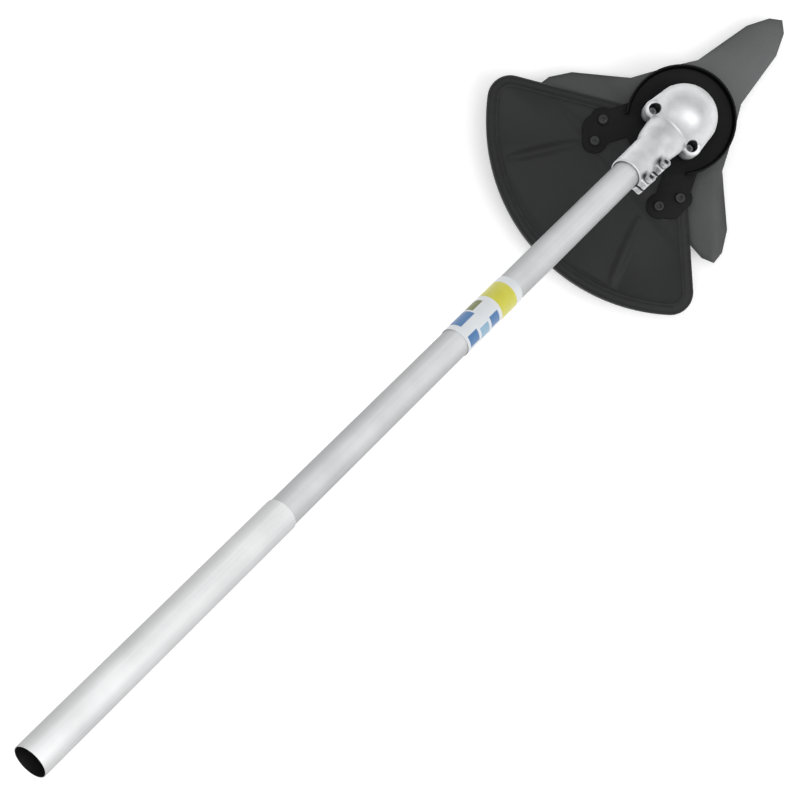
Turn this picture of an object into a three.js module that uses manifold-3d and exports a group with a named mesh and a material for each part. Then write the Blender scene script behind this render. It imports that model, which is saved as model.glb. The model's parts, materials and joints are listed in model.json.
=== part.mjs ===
// Brush cutter attachment: boom, angled gear case, three-tooth blade and debris guard.
// Millimetres, +Z up. The blade lies level; the boom slopes up towards -X.
// The origin is the centre of the boom's open end, where the power unit's tube plugs in.
import * as THREE from 'three';
import { mergeVertices } from 'three/addons/utils/BufferGeometryUtils.js';
import Module from 'manifold-3d';

// ---------------------------------------------------------------- driving dimensions

const GAP = 0.3; // between pieces that touch
const PAST = 1; // how far a cut runs past the face it opens

const BOOM_SLOPE = THREE.MathUtils.degToRad(40); // boom to blade plane
const BOOM_REACH = 830; // open end to the gear case's centre, along the boom

const TUBE_R = 12;
const TUBE_WALL = 1.5;
const TUBE_START = 56; // distances along the boom start at the gear case's centre
const TUBE_END = 745;

const SLEEVE_R = 13;
const SLEEVE_BORE_R = TUBE_R + GAP;
const SLEEVE_START = 572;
const LOCK_HOLE_R = 4;
const LOCK_HOLE_AT = 800;
const RIVET_R = 2.4;
const RIVET_HEAD_R = 4;
const RIVET_HEAD_HEIGHT = 1.2;
const RIVET_AT = 600;

const LABEL_START = 278;
const LABEL_END = 354;
const LABEL_THICKNESS = 0.3;

const SHAFT_R = 4;
const SHAFT_END = 770;
const SQUARE_SIDE = 4.9; // driven square at both ends of the drive shaft
const SQUARE_LENGTH = 14;
const BUSHING_LENGTH = 20;
const BUSHING_GROOVES = 3;
const BUSHING_GROOVE_R = 2.5;
const BUSHING_AT = [140, 325, 510, 695];

const PINION_TEETH = 14;
const GEAR_TEETH = 19;
const MODULE = 1.5;
const FACE_WIDTH = 9;
const PRESSURE_ANGLE = THREE.MathUtils.degToRad(20);
const ADDENDUM = 0.8 * MODULE;
const DEDENDUM = 1.1 * MODULE;
const BACKLASH = 0.3;

const SMALL_BEARING = { bore: 5, outer: 13, width: 8 }; // 10 x 26 x 8
const LARGE_BEARING = { bore: 7.5, outer: 17.5, width: 11 }; // 15 x 35 x 11
const PINION_BEARING_AT = [30, 38.6];
const PINION_RING_AT = 47;
const CIRCLIP_THICKNESS = 1.2;
const PINION_SHANK_END = 53;
const PINION_COLLAR_R = 7.5;
const PINION_COLLAR_LENGTH = 3; // in front of the teeth's back edge
const PINION_RING_BORE_R = 10.2;
const LARGE_RING_BORE_R = 14.2;
const CIRCLIP_HALF_CUT = THREE.MathUtils.degToRad(12);
const SHIELD_DIP = 0.6; // how far a bearing's shields lie below its races
const SEAL_LENGTH = 3.9;
const SEAL_INSET = 0.5;

// heights in the gear case are measured from its centre, where the two axes cross
const DOME_R = 29;
const DOME_TOP = 42;
const DOME_MIDDLE = 4;
const CASE_FACE = -26; // the face that the guard bracket is screwed to
const CASE_FOOT_R = 28;
const FOOT_HEIGHT = 16; // the foot widens to the dome's radius over this height
const DOME_STEPS = 7;
const BOSS_R = 21;
const BOSS_BOTTOM = -36;
const CAVITY_R = 16.5;
const TOP_BEARING_AT = 27.6;
const LARGE_BEARING_TOP = -18.7;
const NECK_R = 14.3;
const NECK_END = 98;
const NECK_ROOT_R = 19;
// the neck's outside, as distances from the boom's axis and along it
const NECK_PROFILE = [
  [0, 4], [NECK_ROOT_R, 4], [NECK_ROOT_R, 34], [17.5, 46], [NECK_R, 57], [NECK_R, NECK_END], [0, NECK_END],
];
const BEARING_BORE_START = 8;
const TUBE_BORE_START = PINION_RING_AT + 3;
const CLAMP_AT = [66, 91];
const CLAMP_SCREW_OUT = 16.2; // clamp screws to the boom's axis
const CLAMP_SCREW_LENGTH = 17;
const CLAMP_EAR_WIDTH = 12;
const CLAMP_EAR_HALF = 8; // across the slit
const CLAMP_EAR_EDGE = 1.3; // material outside a clamp screw
const SLIT_WIDTH = 2.4;
const SLIT_START = 58;
const SCREW_R = 2.5;
const SCREW_HEAD_R = 1.7 * SCREW_R;
const SCREW_HEAD_HEIGHT = 2 * SCREW_R;
const SCREW_SOCKET = 1.6 * SCREW_R; // across flats
const SCREW_SOCKET_DEPTH = 0.55 * SCREW_HEAD_HEIGHT;
const LOCATING_SCREW_AT = 78; // it stops the boom turning in the neck
const PLUG = { along: 28, face: 21, r: 4.5, boss: 7.5, length: 6.5 }; // under the neck's root
const PLUG_HEAD = { flats: 13, height: 4, socket: 5, socketBottom: 2 };
const SHOULDER = { x: -14, y: 22.5, r: 8.5, top: 19 }; // screw towers beside the neck
const SHOULDER_WEB = { x: 7, y: 19.3, top: 15 }; // far end of the wall from a tower to the dome
const SHOULDER_POCKET_R = 5;
const SHOULDER_SEAT = -14;
const FRONT_SCREW_X = 25.2;
const FRONT_SCREW_LENGTH = 11;

const BRACKET_R = 48;
const BRACKET_THICKNESS = 2;
const BRACKET_RIM_HEIGHT = 12;
const RIM_HALF_OPENING = THREE.MathUtils.degToRad(52); // the rim stops where the wings begin
const GUARD_SCREWS = [[-47, 48], [-65, 40], [-47, -48], [-65, -40]];
const WING_R = 11;
const WING_ARM = { from: [-26, 30], to: [-56, 45], r: 14 };
const SCREW_PAST_NUT = 1; // how far a screw's end stands out of its nut
const GUARD_NUT = { flats: 8, height: 4 };

const GUARD_R = 171.5;
const GUARD_CENTRE_X = 3;
const GUARD_HALF_ANGLE = THREE.MathUtils.degToRad(54.5);
const GUARD_TURN = THREE.MathUtils.degToRad(-5); // the guard reaches further round on the +Y side
const GUARD_CORNER_R = 20;
const GUARD_INNER_R = 34;
const GUARD_THICKNESS = 3;
const SKIRT_DEPTH = 25;
const SIDE_LIP_DEPTH = 9;
const RIB_ANGLE = THREE.MathUtils.degToRad(27);
const RIB_HEIGHT = 2.5;
const RIB_WIDTH = 5;
const RIB_START = 98;
const RIB_MARGIN = 16; // between a rib's end and the guard's edge
const DEEP_SKIRT_R = GUARD_R - 1.3 * GUARD_CORNER_R; // the skirt is deep outside this radius

const BLADE_TIP_R = 127.5;
const BLADE_TEETH = 3;
const BLADE_BORE_R = 12.7;
const BLADE_THICKNESS = 2;
const BLADE_TOP = -44;
// half of one tooth, from its root to its tip: along the tooth, then across it
const TOOTH_HALF = [[50.7, 27.2], [102, 18.6], [120.4, 9.3]];
const WAIST_R = 50; // the blade's edge between two teeth

const SPLINE_R = 6.2;
const THREAD_R = 5;
const GEAR_HUB = { r: 8, bottom: 13, bore: 6.3, collar: 10 };
const HOLDER = { flange: 25, hub: 14, thickness: 3.2, edge: 2.4, chamfer: 1.5, top: BOSS_BOTTOM - 1.1 };
const WASHER = { r: 21, thickness: 2.7 };
const CUP_THICKNESS = 2;
const CUP_R = 32;
const CUP_HUB = { inside: 13.2, outside: 11.5 };
// the gliding cup's two faces between its hub and its rim, as radii and heights
const CUP_INSIDE = [[15.2, -58], [17.8, -63], [21.6, -63], [27.6, -57.5]];
const CUP_OUTSIDE = [[29.6, -58.5], [22.4, -65], [17, -65], [13.3, -59]];
const THREAD_CHAMFER = 1;
const SHAFT_BOTTOM = -63.5;
const SPLINE_BOTTOM = -46;
const NUT_FLATS = 16;
const NUT_HEIGHT = 7;
const SPLIT_PIN_R = 0.9;
const SPLIT_PIN_AT = -61.2;
const SPLIT_PIN_ENDS = [-9, 8];

const ROUND = 32; // sides of a large round piece
const FINE = 16; // sides of a small one
const COARSE = 10; // sides of a screw or a hole
const JOIN = 0.1; // how far shapes of one piece run into each other
const WELD = 1e-4; // vertices closer than this are one

// ---------------------------------------------------------------- solids

const wasm = await Module();
wasm.setup();

function signedVolume(positions, index) {
  const [a, b, c] = [new THREE.Vector3(), new THREE.Vector3(), new THREE.Vector3()];
  let volume = 0;
  for (let i = 0; i < index.length; i += 3) {
    a.fromArray(positions, index[i] * 3);
    b.fromArray(positions, index[i + 1] * 3);
    c.fromArray(positions, index[i + 2] * 3);
    volume += a.dot(b.cross(c)) / 6;
  }
  return volume;
}

// A closed surface with shared vertices, no flat triangles, and faces that point out.
function closed(geometry) {
  const bare = new THREE.BufferGeometry();
  bare.setAttribute('position', geometry.getAttribute('position').clone());
  const count = bare.getAttribute('position').count;
  bare.setIndex(geometry.index ? Array.from(geometry.index.array) : [...Array(count).keys()]);
  const merged = mergeVertices(bare, WELD);
  const all = merged.index.array;
  const index = [];
  for (let i = 0; i < all.length; i += 3) {
    const [a, b, c] = [all[i], all[i + 1], all[i + 2]];
    if (a !== b && b !== c && c !== a) index.push(a, b, c);
  }
  if (signedVolume(merged.getAttribute('position').array, index) < 0) index.reverse();
  merged.setIndex(index);
  merged.computeVertexNormals();
  return merged;
}

function toManifold(geometry) {
  const shape = closed(geometry);
  return new wasm.Manifold(new wasm.Mesh({
    numProp: 3,
    vertProperties: new Float32Array(shape.getAttribute('position').array),
    triVerts: new Uint32Array(shape.index.array),
  }));
}

function toGeometry(manifold) {
  const mesh = manifold.getMesh();
  const geometry = new THREE.BufferGeometry();
  geometry.setAttribute('position', new THREE.BufferAttribute(mesh.vertProperties, 3));
  geometry.setIndex(new THREE.BufferAttribute(mesh.triVerts, 1));
  geometry.computeVertexNormals();
  return geometry;
}

// The first list is joined, and the second is cut from it.
function carve(joined, cuts = []) {
  let result = toManifold(joined[0]);
  for (const piece of joined.slice(1)) result = result.add(toManifold(piece));
  for (const piece of cuts) result = result.subtract(toManifold(piece));
  return toGeometry(result);
}

// A profile of [radius, height] points turned about Z. It starts and ends on the axis or on itself.
function turned(profile, sides = ROUND) {
  const points = profile.map(([r, z]) => new THREE.Vector2(r, z));
  return closed(new THREE.LatheGeometry(points, sides).rotateX(Math.PI / 2));
}

function rod(radius, low, high, sides = FINE) {
  return turned([[0, low], [radius, low], [radius, high], [0, high]], sides);
}

function ring(inner, outer, low, high, sides = ROUND) {
  return turned([[inner, low], [outer, low], [outer, high], [inner, high], [inner, low]], sides);
}

// A rod of given radius along any direction, from one point to another.
function strut(radius, from, to, sides = COARSE) {
  const [start, end] = [new THREE.Vector3(...from), new THREE.Vector3(...to)];
  const along = end.clone().sub(start);
  const heading = along.clone().normalize();
  const turn = new THREE.Quaternion().setFromUnitVectors(new THREE.Vector3(0, 0, 1), heading);
  return rod(radius, 0, along.length(), sides).applyQuaternion(turn).translate(...start);
}

function block(low, high) {
  const size = high.map((value, i) => value - low[i]);
  const middle = high.map((value, i) => (value + low[i]) / 2);
  return closed(new THREE.BoxGeometry(...size).translate(...middle));
}

function slab(shape, low, high, curveSegments = COARSE) {
  const options = { depth: high - low, bevelEnabled: false, curveSegments };
  return closed(new THREE.ExtrudeGeometry(shape, options).translate(0, 0, low));
}

function polygon(sides, acrossFlats) {
  const radius = acrossFlats / 2 / Math.cos(Math.PI / sides);
  const corners = [...Array(sides).keys()].map((i) => {
    const angle = (2 * i + 1) * Math.PI / sides;
    return new THREE.Vector2(radius * Math.cos(angle), radius * Math.sin(angle));
  });
  return new THREE.Shape(corners);
}

// A flat bar with round ends, from one point to another.
function stadium([ax, ay], [bx, by], radius) {
  const heading = Math.atan2(by - ay, bx - ax);
  const shape = new THREE.Shape();
  shape.absarc(bx, by, radius, heading - Math.PI / 2, heading + Math.PI / 2, false);
  shape.absarc(ax, ay, radius, heading + Math.PI / 2, heading + 3 * Math.PI / 2, false);
  return shape;
}

// An arc-shaped bar between two radii, centred on an angle.
function arcBar(inner, outer, middle, halfAngle) {
  const shape = new THREE.Shape();
  shape.absarc(0, 0, outer, middle - halfAngle, middle + halfAngle, false);
  shape.absarc(0, 0, inner, middle + halfAngle, middle - halfAngle, true);
  return shape;
}

// A socket-head screw along -Z with the underside of its head at z = 0.
function capScrew(length) {
  const socketBottom = SCREW_HEAD_HEIGHT - SCREW_SOCKET_DEPTH;
  const socket = slab(polygon(6, SCREW_SOCKET), socketBottom, SCREW_HEAD_HEIGHT + PAST);
  const shank = rod(SCREW_R, -length, JOIN, COARSE);
  return carve([shank, rod(SCREW_HEAD_R, 0, SCREW_HEAD_HEIGHT, COARSE)], [socket]);
}

function circlip(inner, outer, low) {
  return slab(arcBar(inner, outer, 0, Math.PI - CIRCLIP_HALF_CUT), low, low + CIRCLIP_THICKNESS, ROUND);
}

// A sealed ball bearing, with shields that dip between its races.
function bearing({ bore, outer, width }, low) {
  const inner = bore + GAP;
  const middle = (inner + outer) / 2;
  const high = low + width;
  return turned([
    [inner, low], [middle, low + SHIELD_DIP], [outer, low],
    [outer, high], [middle, high - SHIELD_DIP], [inner, high], [inner, low],
  ], FINE);
}

// ---------------------------------------------------------------- bevel gears

const SHAFT_ANGLE = Math.PI / 2 - BOOM_SLOPE;
const GEAR_CONE = Math.atan2(Math.sin(SHAFT_ANGLE), PINION_TEETH / GEAR_TEETH + Math.cos(SHAFT_ANGLE));
const PINION_CONE = SHAFT_ANGLE - GEAR_CONE;
const CONE_DISTANCE = GEAR_TEETH * MODULE / 2 / Math.sin(GEAR_CONE);

const involute = (angle) => Math.tan(angle) - angle;

// Half of a tooth's angle on the back cone, at a slant radius from that cone's tip.
function halfToothAngle(slant, pitchSlant) {
  const baseSlant = pitchSlant * Math.cos(PRESSURE_ANGLE);
  const halfAtPitch = (Math.PI * MODULE / 2 - BACKLASH / 2) / 2 / pitchSlant;
  const local = Math.acos(Math.min(1, baseSlant / Math.max(slant, baseSlant)));
  return halfAtPitch + involute(PRESSURE_ANGLE) - involute(local);
}

// The teeth of a bevel gear whose pitch cone has its tip at the origin and opens along +Z.
function bevelTeeth(teeth, cone, firstTooth) {
  const pitchSlant = CONE_DISTANCE * Math.tan(cone);
  const slants = [-DEDENDUM, 0, ADDENDUM].map((offset) => pitchSlant + offset);
  const place = (slant, angle) => {
    const radius = slant * Math.cos(cone);
    const height = CONE_DISTANCE / Math.cos(cone) - slant * Math.sin(cone);
    return new THREE.Vector3(radius * Math.cos(angle), radius * Math.sin(angle), height);
  };
  const outline = [];
  for (let tooth = 0; tooth < teeth; tooth += 1) {
    const middle = firstTooth + tooth * 2 * Math.PI / teeth;
    const half = (slant) => halfToothAngle(slant, pitchSlant) / Math.cos(cone);
    for (const slant of slants) outline.push(place(slant, middle - half(slant)));
    for (const slant of [...slants].reverse()) outline.push(place(slant, middle + half(slant)));
    outline.push(place(slants[0], middle + Math.PI / teeth));
  }
  const inner = (CONE_DISTANCE - FACE_WIDTH) / CONE_DISTANCE;
  const count = outline.length;
  const points = [...outline, ...outline.map((point) => point.clone().multiplyScalar(inner))];
  const rootHeight = outline[0].z;
  points.push(new THREE.Vector3(0, 0, rootHeight), new THREE.Vector3(0, 0, rootHeight * inner));
  const index = [];
  for (let i = 0; i < count; i += 1) {
    const next = (i + 1) % count;
    index.push(i, next, count + i, next, count + next, count + i);
    index.push(next, i, 2 * count, count + i, count + next, 2 * count + 1);
  }
  const geometry = new THREE.BufferGeometry().setFromPoints(points);
  geometry.setIndex(index);
  return closed(geometry);
}

// ---------------------------------------------------------------- along the boom
// These are drawn with the boom's axis on Z, the gear case's centre at 0 and +X on the upper side.

function boomTube() {
  return ring(TUBE_R - TUBE_WALL, TUBE_R, TUBE_START, TUBE_END);
}

function couplingSleeve() {
  const lockHole = strut(LOCK_HOLE_R, [-SLEEVE_R - PAST, 0, LOCK_HOLE_AT], [0, 0, LOCK_HOLE_AT]);
  const rivetHole = strut(RIVET_R + GAP, [-SLEEVE_R - PAST, 0, RIVET_AT], [0, 0, RIVET_AT]);
  return carve([ring(SLEEVE_BORE_R, SLEEVE_R, SLEEVE_START, BOOM_REACH)], [lockHole, rivetHole]);
}

function sleeveRivet() {
  const seat = -SLEEVE_R - GAP;
  const shank = strut(RIVET_R, [seat - JOIN, 0, RIVET_AT], [-TUBE_R - GAP, 0, RIVET_AT]);
  const head = strut(RIVET_HEAD_R, [seat - RIVET_HEAD_HEIGHT, 0, RIVET_AT], [seat, 0, RIVET_AT]);
  return carve([head, shank]);
}

function labelWrap() {
  return ring(TUBE_R + GAP, TUBE_R + GAP + LABEL_THICKNESS, LABEL_START, LABEL_END);
}

const SOCKET_START = PINION_SHANK_END - SQUARE_LENGTH;

function driveShaft() {
  const low = SOCKET_START + GAP;
  const neckAt = PINION_SHANK_END + GAP;
  const lowerSquare = slab(polygon(4, SQUARE_SIDE), low, neckAt + JOIN);
  const upperSquare = slab(polygon(4, SQUARE_SIDE), SHAFT_END - SQUARE_LENGTH - JOIN, SHAFT_END);
  return carve([rod(SHAFT_R, neckAt, SHAFT_END - SQUARE_LENGTH), lowerSquare, upperSquare]);
}

// A ring that centres the drive shaft, with grooves for grease and air.
function shaftBushing(middle) {
  const [low, high] = [middle - BUSHING_LENGTH / 2, middle + BUSHING_LENGTH / 2];
  const outer = TUBE_R - TUBE_WALL - GAP;
  const grooves = [...Array(BUSHING_GROOVES).keys()].map((i) => {
    const angle = i * 2 * Math.PI / BUSHING_GROOVES;
    const [x, y] = [outer * Math.cos(angle), outer * Math.sin(angle)];
    return strut(BUSHING_GROOVE_R, [x, y, low - PAST], [x, y, high + PAST]);
  });
  return carve([ring(SHAFT_R + GAP, outer, low, high, FINE)], grooves);
}

function bevelPinion() {
  const teethBack = CONE_DISTANCE * Math.cos(PINION_CONE);
  const collar = rod(PINION_COLLAR_R, teethBack - PINION_COLLAR_LENGTH, PINION_BEARING_AT[0] - GAP);
  const shank = rod(SMALL_BEARING.bore, teethBack, PINION_SHANK_END);
  const socket = slab(polygon(4, SQUARE_SIDE + 2 * GAP), SOCKET_START, PINION_SHANK_END + PAST);
  return carve([bevelTeeth(PINION_TEETH, PINION_CONE, 0), collar, shank], [socket]);
}

function locatingScrew() {
  const screw = capScrew(NECK_R - TUBE_R).rotateY(-Math.PI / 2);
  return screw.translate(-NECK_R - GAP, 0, LOCATING_SCREW_AT);
}

function clampScrew(along) {
  const screw = capScrew(CLAMP_SCREW_LENGTH).rotateY(Math.PI / 2);
  return screw.translate(CLAMP_EAR_HALF + GAP, -CLAMP_SCREW_OUT, along);
}

// ---------------------------------------------------------------- gear case

function domeProfile() {
  const profile = [[0, CASE_FACE], [CASE_FOOT_R, CASE_FACE], [DOME_R, CASE_FACE + FOOT_HEIGHT]];
  for (let i = 0; i <= DOME_STEPS; i += 1) {
    const angle = (i / DOME_STEPS) * Math.PI / 2;
    profile.push([DOME_R * Math.cos(angle), DOME_MIDDLE + (DOME_TOP - DOME_MIDDLE) * Math.sin(angle)]);
  }
  return profile;
}

// Puts a shape drawn along the boom into the gear case's level frame.
const alongBoom = (geometry) => geometry.rotateY(-SHAFT_ANGLE);

function neckSolids() {
  const halfWidth = CLAMP_EAR_WIDTH / 2;
  const outerEnd = -CLAMP_SCREW_OUT - SCREW_R - CLAMP_EAR_EDGE;
  const innerEnd = -TUBE_R + SLIT_WIDTH;
  const ears = CLAMP_AT.map((along) =>
    block([-CLAMP_EAR_HALF, outerEnd, along - halfWidth], [CLAMP_EAR_HALF, innerEnd, along + halfWidth]));
  return [turned(NECK_PROFILE), ...ears];
}

function neckCuts() {
  const halfSlit = SLIT_WIDTH / 2;
  const bearingBore = rod(SMALL_BEARING.outer + GAP, BEARING_BORE_START, TUBE_BORE_START + PAST, ROUND);
  const tubeBore = rod(TUBE_R + GAP, TUBE_BORE_START, NECK_END + PAST, ROUND);
  const slit = block([-halfSlit, -2 * NECK_R, SLIT_START], [halfSlit, -TUBE_R / 2, NECK_END + PAST]);
  const clampHoles = CLAMP_AT.map((along) =>
    strut(SCREW_R + GAP, [-NECK_R, -CLAMP_SCREW_OUT, along], [NECK_R, -CLAMP_SCREW_OUT, along]));
  const locatingHole = strut(SCREW_R + GAP,
    [-NECK_R - PAST, 0, LOCATING_SCREW_AT], [-TUBE_R + PAST, 0, LOCATING_SCREW_AT]);
  return [bearingBore, tubeBore, slit, ...clampHoles, locatingHole];
}

function gearCase() {
  const dome = turned(domeProfile());
  const boss = rod(BOSS_R, BOSS_BOTTOM, CASE_FACE + JOIN, ROUND);
  const sides = [1, -1];
  const towers = sides.map((side) =>
    rod(SHOULDER.r, CASE_FACE, SHOULDER.top).translate(SHOULDER.x, side * SHOULDER.y, 0));
  const webs = sides.map((side) => {
    const wall = stadium(
      [SHOULDER.x, side * SHOULDER.y], [SHOULDER_WEB.x, side * SHOULDER_WEB.y], SHOULDER.r);
    return slab(wall, CASE_FACE, SHOULDER_WEB.top);
  });
  const plugBoss = strut(PLUG.boss, [-NECK_R, 0, PLUG.along], [-PLUG.face, 0, PLUG.along], FINE);
  const joined = [dome, boss, ...towers, ...webs, ...[plugBoss, ...neckSolids()].map(alongBoom)];

  const topBearingSeat = TOP_BEARING_AT + SMALL_BEARING.width + GAP;
  const [largeBore, smallBore] = [LARGE_BEARING.outer + GAP, SMALL_BEARING.outer + GAP];
  const interior = turned([
    [0, BOSS_BOTTOM - PAST], [largeBore, BOSS_BOTTOM - PAST], [largeBore, LARGE_BEARING_TOP + GAP],
    [CAVITY_R, LARGE_BEARING_TOP + GAP], [CAVITY_R, TOP_BEARING_AT - 2 * PAST],
    [smallBore, TOP_BEARING_AT - PAST], [smallBore, topBearingSeat], [0, topBearingSeat],
  ]);
  const pockets = sides.map((side) =>
    rod(SHOULDER_POCKET_R, SHOULDER_SEAT, DOME_TOP).translate(SHOULDER.x, side * SHOULDER.y, 0));
  const shoulderHoles = sides.map((side) =>
    rod(SCREW_R + GAP, CASE_FACE - PAST, SHOULDER_SEAT + PAST, COARSE)
      .translate(SHOULDER.x, side * SHOULDER.y, 0));
  const frontHole = rod(SCREW_R + GAP, CASE_FACE - PAST, CASE_FACE + FRONT_SCREW_LENGTH, COARSE)
    .translate(FRONT_SCREW_X, 0, 0);
  const plugHole = strut(PLUG.r + GAP,
    [-SMALL_BEARING.outer + PAST, 0, PLUG.along], [-PLUG.face - PAST, 0, PLUG.along], FINE);
  const cuts = [interior, ...pockets, ...shoulderHoles, frontHole];
  cuts.push(...[plugHole, ...neckCuts()].map(alongBoom));
  return carve(joined, cuts);
}

function greasePlug() {
  const stem = rod(PLUG.r, -PLUG.length, JOIN);
  const head = slab(polygon(6, PLUG_HEAD.flats), 0, PLUG_HEAD.height);
  const socket = slab(polygon(6, PLUG_HEAD.socket), PLUG_HEAD.socketBottom, PLUG_HEAD.height + PAST);
  return carve([head, stem], [socket]).rotateY(-Math.PI / 2).translate(-PLUG.face - GAP, 0, PLUG.along);
}

// ---------------------------------------------------------------- output shaft and cutter

const HOLDER_BOTTOM = BLADE_TOP + GAP;
const BLADE_BOTTOM = BLADE_TOP - BLADE_THICKNESS;
const WASHER_TOP = BLADE_BOTTOM - GAP;
const WASHER_BOTTOM = WASHER_TOP - WASHER.thickness;
const CUP_TOP = WASHER_BOTTOM - GAP;
const NUT_TOP = CUP_TOP - CUP_THICKNESS - GAP;

function outputShaft() {
  const { bore } = LARGE_BEARING;
  const shoulder = HOLDER.top + GAP;
  const [hubSeat, bearingSeat] = [GEAR_HUB.bottom - GAP, TOP_BEARING_AT - GAP];
  const hubR = GEAR_HUB.bore - GAP;
  const top = bearingSeat + SMALL_BEARING.width;
  const body = turned([
    [0, SHAFT_BOTTOM], [THREAD_R - THREAD_CHAMFER, SHAFT_BOTTOM],
    [THREAD_R, SHAFT_BOTTOM + THREAD_CHAMFER], [THREAD_R, SPLINE_BOTTOM],
    [SPLINE_R, SPLINE_BOTTOM], [SPLINE_R, shoulder], [bore, shoulder], [bore, hubSeat],
    [hubR, hubSeat], [hubR, bearingSeat],
    [SMALL_BEARING.bore, bearingSeat], [SMALL_BEARING.bore, top], [0, top],
  ], FINE);
  const reach = 2 * THREAD_R;
  const pinHole = strut(SPLIT_PIN_R + GAP, [0, -reach, SPLIT_PIN_AT], [0, reach, SPLIT_PIN_AT]);
  return carve([body], [pinHole]);
}

function bevelGear() {
  const firstTooth = Math.PI + Math.PI / GEAR_TEETH; // a gap faces the pinion
  const back = CONE_DISTANCE * Math.cos(GEAR_CONE);
  const hub = rod(GEAR_HUB.r, GEAR_HUB.bottom, back);
  const collar = rod(GEAR_HUB.collar, back - PAST, TOP_BEARING_AT - 2 * GAP);
  const bore = rod(GEAR_HUB.bore, 0, TOP_BEARING_AT + PAST);
  return carve([bevelTeeth(GEAR_TEETH, GEAR_CONE, firstTooth), hub, collar], [bore]);
}

function shaftSeal() {
  const low = BOSS_BOTTOM + SEAL_INSET;
  return ring(LARGE_BEARING.bore + GAP, LARGE_BEARING.outer, low, low + SEAL_LENGTH);
}

// The driving flange above the blade, with the pilot that centres it.
function bladeHolder() {
  const pilot = BLADE_BORE_R - GAP;
  const bore = SPLINE_R + GAP;
  const pilotEnd = BLADE_BOTTOM + GAP;
  const { flange, hub, chamfer, top } = HOLDER;
  const [low, high] = [HOLDER_BOTTOM, HOLDER_BOTTOM + HOLDER.thickness];
  return turned([
    [bore, pilotEnd], [pilot, pilotEnd], [pilot, low], [flange, low], [flange, low + HOLDER.edge],
    [flange - chamfer, high], [hub, high], [hub, top], [bore, top], [bore, pilotEnd],
  ]);
}

// Three straight-sided pointed teeth, joined by hollow curves between their roots.
function cuttingBlade() {
  const centre = new THREE.Vector2();
  const mirrored = TOOTH_HALF.map(([along, across]) => [along, -across]);
  const corners = [...mirrored, [BLADE_TIP_R, 0], ...[...TOOTH_HALF].reverse()];
  const outline = [];
  for (let tooth = 0; tooth < BLADE_TEETH; tooth += 1) {
    const turn = (point, part = 0) =>
      point.rotateAround(centre, (tooth + part) * 2 * Math.PI / BLADE_TEETH);
    const edge = corners.map((corner) => turn(new THREE.Vector2(...corner)));
    const waist = turn(new THREE.Vector2(WAIST_R, 0), 0.5);
    const nextRoot = turn(new THREE.Vector2(...mirrored[0]), 1);
    const hollow = new THREE.QuadraticBezierCurve(edge[edge.length - 1], waist, nextRoot);
    outline.push(...edge, ...hollow.getPoints(COARSE).slice(1, -1));
  }
  const shape = new THREE.Shape(outline);
  const hole = new THREE.Path();
  hole.absarc(0, 0, BLADE_BORE_R, 0, 2 * Math.PI, true);
  shape.holes.push(hole);
  return slab(shape, BLADE_BOTTOM, BLADE_TOP);
}

function clampWasher() {
  return ring(THREAD_R + GAP, WASHER.r, WASHER_BOTTOM, WASHER_TOP);
}

// A dish that slides over the ground and shields the nut in its middle.
function glidingCup() {
  const bore = THREAD_R + GAP;
  const rimInside = CUP_R - CUP_THICKNESS;
  const low = CUP_TOP - CUP_THICKNESS;
  return turned([
    [bore, CUP_TOP], [CUP_HUB.inside, CUP_TOP], ...CUP_INSIDE, [rimInside, low], [rimInside, CUP_TOP],
    [CUP_R, CUP_TOP], [CUP_R, low], ...CUP_OUTSIDE, [CUP_HUB.outside, low], [bore, low], [bore, CUP_TOP],
  ]);
}

function bladeNut() {
  const body = slab(polygon(6, NUT_FLATS), NUT_TOP - NUT_HEIGHT, NUT_TOP);
  return carve([body], [rod(THREAD_R + GAP, NUT_TOP - NUT_HEIGHT - PAST, NUT_TOP + PAST)]);
}

function splitPin() {
  const [start, end] = SPLIT_PIN_ENDS;
  return strut(SPLIT_PIN_R, [0, start, SPLIT_PIN_AT], [0, end, SPLIT_PIN_AT]);
}

// ---------------------------------------------------------------- bracket and guard

const BRACKET_TOP = CASE_FACE - GAP;
const BRACKET_BOTTOM = BRACKET_TOP - BRACKET_THICKNESS;
const GUARD_TOP = BRACKET_BOTTOM - GAP;
const GUARD_BOTTOM = GUARD_TOP - GUARD_THICKNESS;
const BRACKET_HOLES = [[SHOULDER.x, SHOULDER.y], [SHOULDER.x, -SHOULDER.y], [FRONT_SCREW_X, 0]];

function guardBracket() {
  const disc = rod(BRACKET_R, BRACKET_BOTTOM, BRACKET_TOP, ROUND);
  const rimArc = arcBar(BRACKET_R - BRACKET_THICKNESS, BRACKET_R, 0, Math.PI - RIM_HALF_OPENING);
  const rim = slab(rimArc, BRACKET_TOP - JOIN, BRACKET_TOP + BRACKET_RIM_HEIGHT, FINE);
  const wings = [1, -1].flatMap((side) => {
    const [first, second] = GUARD_SCREWS.filter(([, y]) => y * side > 0);
    const armEnd = ([x, y]) => [x, side * y];
    const arm = stadium(armEnd(WING_ARM.from), armEnd(WING_ARM.to), WING_ARM.r);
    return [stadium(first, second, WING_R), arm].map((shape) => slab(shape, BRACKET_BOTTOM, BRACKET_TOP));
  });
  const holes = [...GUARD_SCREWS, ...BRACKET_HOLES].map(([x, y]) =>
    rod(SCREW_R + GAP, BRACKET_BOTTOM - PAST, BRACKET_TOP + PAST, COARSE).translate(x, y, 0));
  const centre = rod(BOSS_R + GAP, BRACKET_BOTTOM - PAST, BRACKET_TOP + PAST, ROUND);
  return carve([disc, rim, ...wings], [centre, ...holes]);
}

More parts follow.
